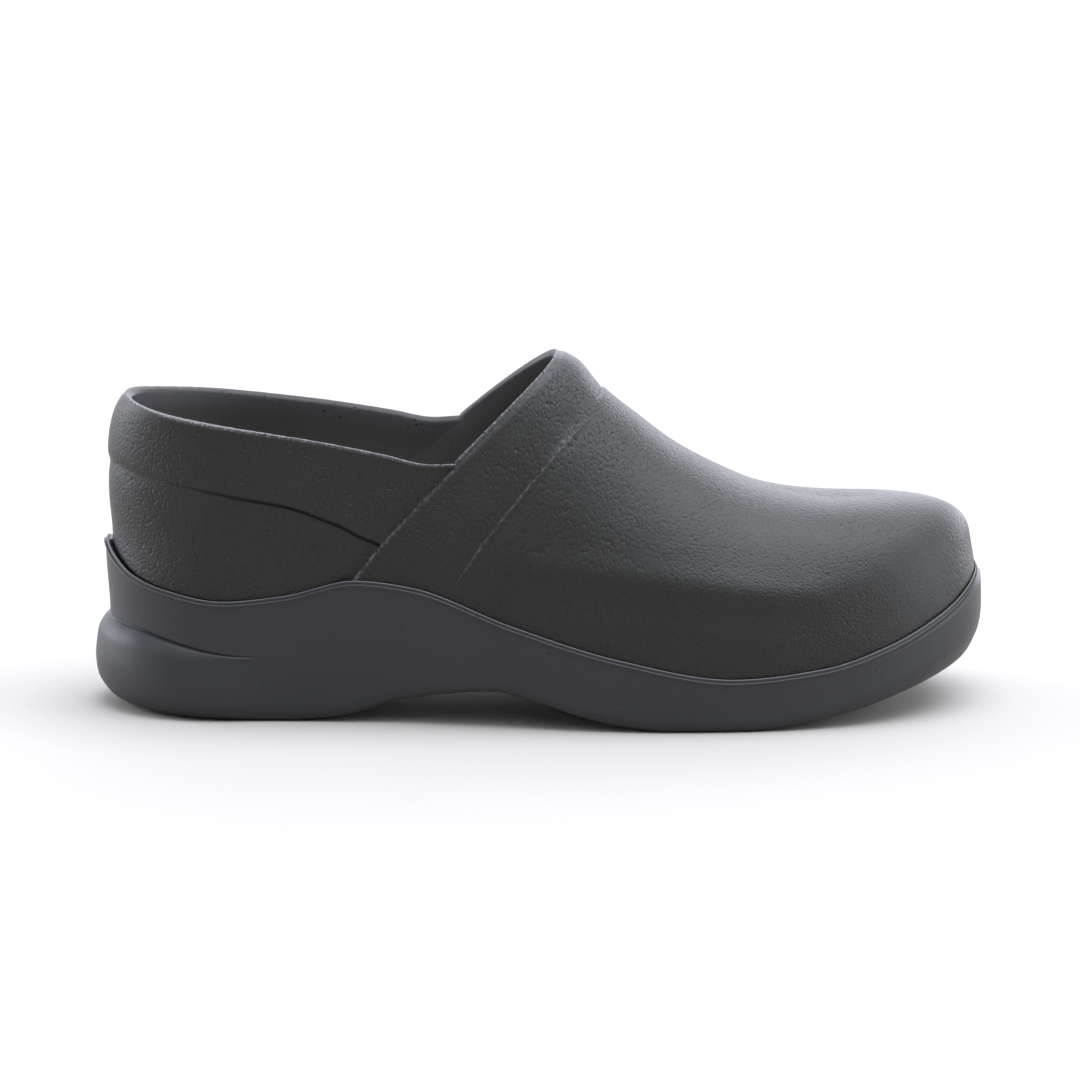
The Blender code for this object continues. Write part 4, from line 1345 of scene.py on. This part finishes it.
class ClogStudio(bpy.types.PropertyGroup):
    """The camera and the lights."""
    elevation: direction("Elevation", "The camera's angle above the floor", 11.5)
    distance: length("Distance", "From the camera to the middle of the view", 3.0)
    span: length("Span", "Width of the view at that distance", 0.3529)
    aim_along: length("Aim along", "Place along the shoe of the middle of the view", 0.0004)
    aim_height: length("Aim height", "Height of the middle of the view", 0.053)
    key: strength("Key", "Strength of the soft light above", 4.1)
    back: strength("Back", "Strength of the light behind the shoe", 0.65)
    sides: strength("Sides", "Strength of the low side lights", 1.45)
    tone: color("Tone", "Tone of the lights and the room", (0.88, 0.903, 1.0))
    bright: strength("Room", "Brightness of the room above, behind and beside the shoe", 1.15)
    behind: strength("Behind", "Extra brightness of the room straight behind the shoe", 1.6)
    dim: strength("Front", "Brightness of the room low in front of the shoe", 0.12)


class CLOG_OT_make_stage(bpy.types.Operator):
    """Makes the floor, the lights, the room and the camera"""
    bl_idname = "clog.make_stage"
    bl_label = "Studio"

    def execute(self, context):
        scene = context.scene
        make_floor(scene.clog_finish)
        make_room(scene, scene.clog_studio)
        make_lights(scene, scene.clog_studio)
        make_camera(scene, scene.clog_studio)
        return {"FINISHED"}


class CLOG_OT_make_upper(bpy.types.Operator):
    """Makes the moulded upper"""
    bl_idname = "clog.make_upper"
    bl_label = "Upper"

    def execute(self, context):
        make_piece("upper_shell", "upper", upper_shell, upper_finish)
        return {"FINISHED"}


class CLOG_OT_make_sole(bpy.types.Operator):
    """Makes the sole with its lip, heel tier and tread"""
    bl_idname = "clog.make_sole"
    bl_label = "Sole"

    def execute(self, context):
        make_piece("sole_unit", "sole", sole_body, sole_finish)
        return {"FINISHED"}


class CLOG_OT_make_footbed(bpy.types.Operator):
    """Makes the footbed in the sole's recess"""
    bl_idname = "clog.make_footbed"
    bl_label = "Footbed"

    def execute(self, context):
        piece = make_piece("footbed", "insole", footbed_body, footbed_finish)
        return {"FINISHED"}


class CLOG_PT_clog(bpy.types.Panel):
    """Lists the pieces and their sizes"""
    bl_idname = "CLOG_PT_clog"
    bl_label = "Chef clog"
    bl_space_type = "VIEW_3D"
    bl_region_type = "UI"
    bl_category = "Clog"

    def draw(self, context):
        layout = self.layout
        for operator in OPERATORS:
            layout.operator(operator.bl_idname)
        for name, group in GROUPS.items():
            layout.label(text=group.__doc__)
            for field in group.__annotations__:
                layout.prop(getattr(context.scene, name), field)


GROUPS = {"clog_sizes": ClogSizes, "clog_finish": ClogFinish, "clog_studio": ClogStudio}
OPERATORS = (CLOG_OT_make_stage, CLOG_OT_make_upper, CLOG_OT_make_sole, CLOG_OT_make_footbed)


def make_floor(finish):
    """Square floor under the sole."""
    half = 8.0
    mesh = bpy.data.meshes.new("floor")
    corners = [(-half, -half, 0.0), (half, -half, 0.0), (half, half, 0.0), (-half, half, 0.0)]
    mesh.from_pydata(corners, [], [(0, 1, 2, 3)])
    mesh.materials.append(floor_finish(finish))
    floor = bpy.data.objects.new("floor", mesh)
    bpy.context.scene.collection.objects.link(floor)


def make_room(scene, studio):
    """Pale room, darker low in front and brighter straight behind: soft steps of y + 0.9 z and of y."""
    world = bpy.data.worlds.new("room")
    scene.world = world
    world.use_nodes = True
    room = Nodes(world.node_tree)
    toward = room.node("ShaderNodeTexCoord", output="Generated")
    y, z = room.axis(toward, "Y"), room.axis(toward, "Z")
    bright = (z * 0.9 + y).above(-0.9, 0.1) * (studio.bright - studio.dim)
    background = world.node_tree.nodes["Background"].inputs
    room.feed(background["Strength"], bright + studio.dim + y.above(0.5, 1.0) * studio.behind)
    room.feed(background["Color"], solid(studio.tone))


def make_lights(scene, studio):
    """Soft distant lights: one above, one behind, one low on each side and one behind the toe."""
    lights = (
        ("key", (0.25, 0.0, 1.0), 60, studio.key),
        ("back", (0.10, 0.85, 0.40), 50, studio.back),
        ("heel_side", (-0.91, 0.34, 0.18), 45, 1.9 * studio.sides),
        ("toe_side", (0.90, -0.10, 0.26), 45, studio.sides),
        ("toe_edge", (0.62, 0.77, 0.14), 35, 0.6 * studio.sides),
    )
    for name, toward, width, power in lights:
        data = bpy.data.lights.new(name, "SUN")
        data.energy = power
        data.color = studio.tone
        data.angle = np.radians(width)
        lamp = bpy.data.objects.new(name, data)
        lamp.rotation_euler = Vector(toward).to_track_quat("Z", "Y").to_euler()
        scene.collection.objects.link(lamp)


def make_camera(scene, studio):
    """Camera square to the shoe's outer side, a little above it, with the photo's long lens."""
    data = bpy.data.cameras.new("camera")
    data.sensor_width = 36.0
    data.lens = data.sensor_width * studio.distance / studio.span
    camera = bpy.data.objects.new("camera", data)
    camera.location = (
        studio.aim_along,
        -studio.distance * np.cos(studio.elevation),
        studio.aim_height + studio.distance * np.sin(studio.elevation),
    )
    camera.rotation_euler = (np.pi / 2 - studio.elevation, 0.0, 0.0)
    scene.collection.objects.link(camera)
    scene.camera = camera
    scene.view_settings.view_transform = "Standard"


def register():
    for group in GROUPS.values():
        bpy.utils.register_class(group)
    for name, group in GROUPS.items():
        setattr(bpy.types.Scene, name, PointerProperty(type=group))
    for kind in (*OPERATORS, CLOG_PT_clog):
        bpy.utils.register_class(kind)


def unregister():
    for kind in (CLOG_PT_clog, *reversed(OPERATORS)):
        bpy.utils.unregister_class(kind)
    for name, group in GROUPS.items():
        delattr(bpy.types.Scene, name)
        bpy.utils.unregister_class(group)


def main():
    register()
    bpy.ops.clog.make_stage()
    bpy.ops.clog.make_upper()
    bpy.ops.clog.make_sole()
    bpy.ops.clog.make_footbed()


if __name__ == "__main__":
    main()
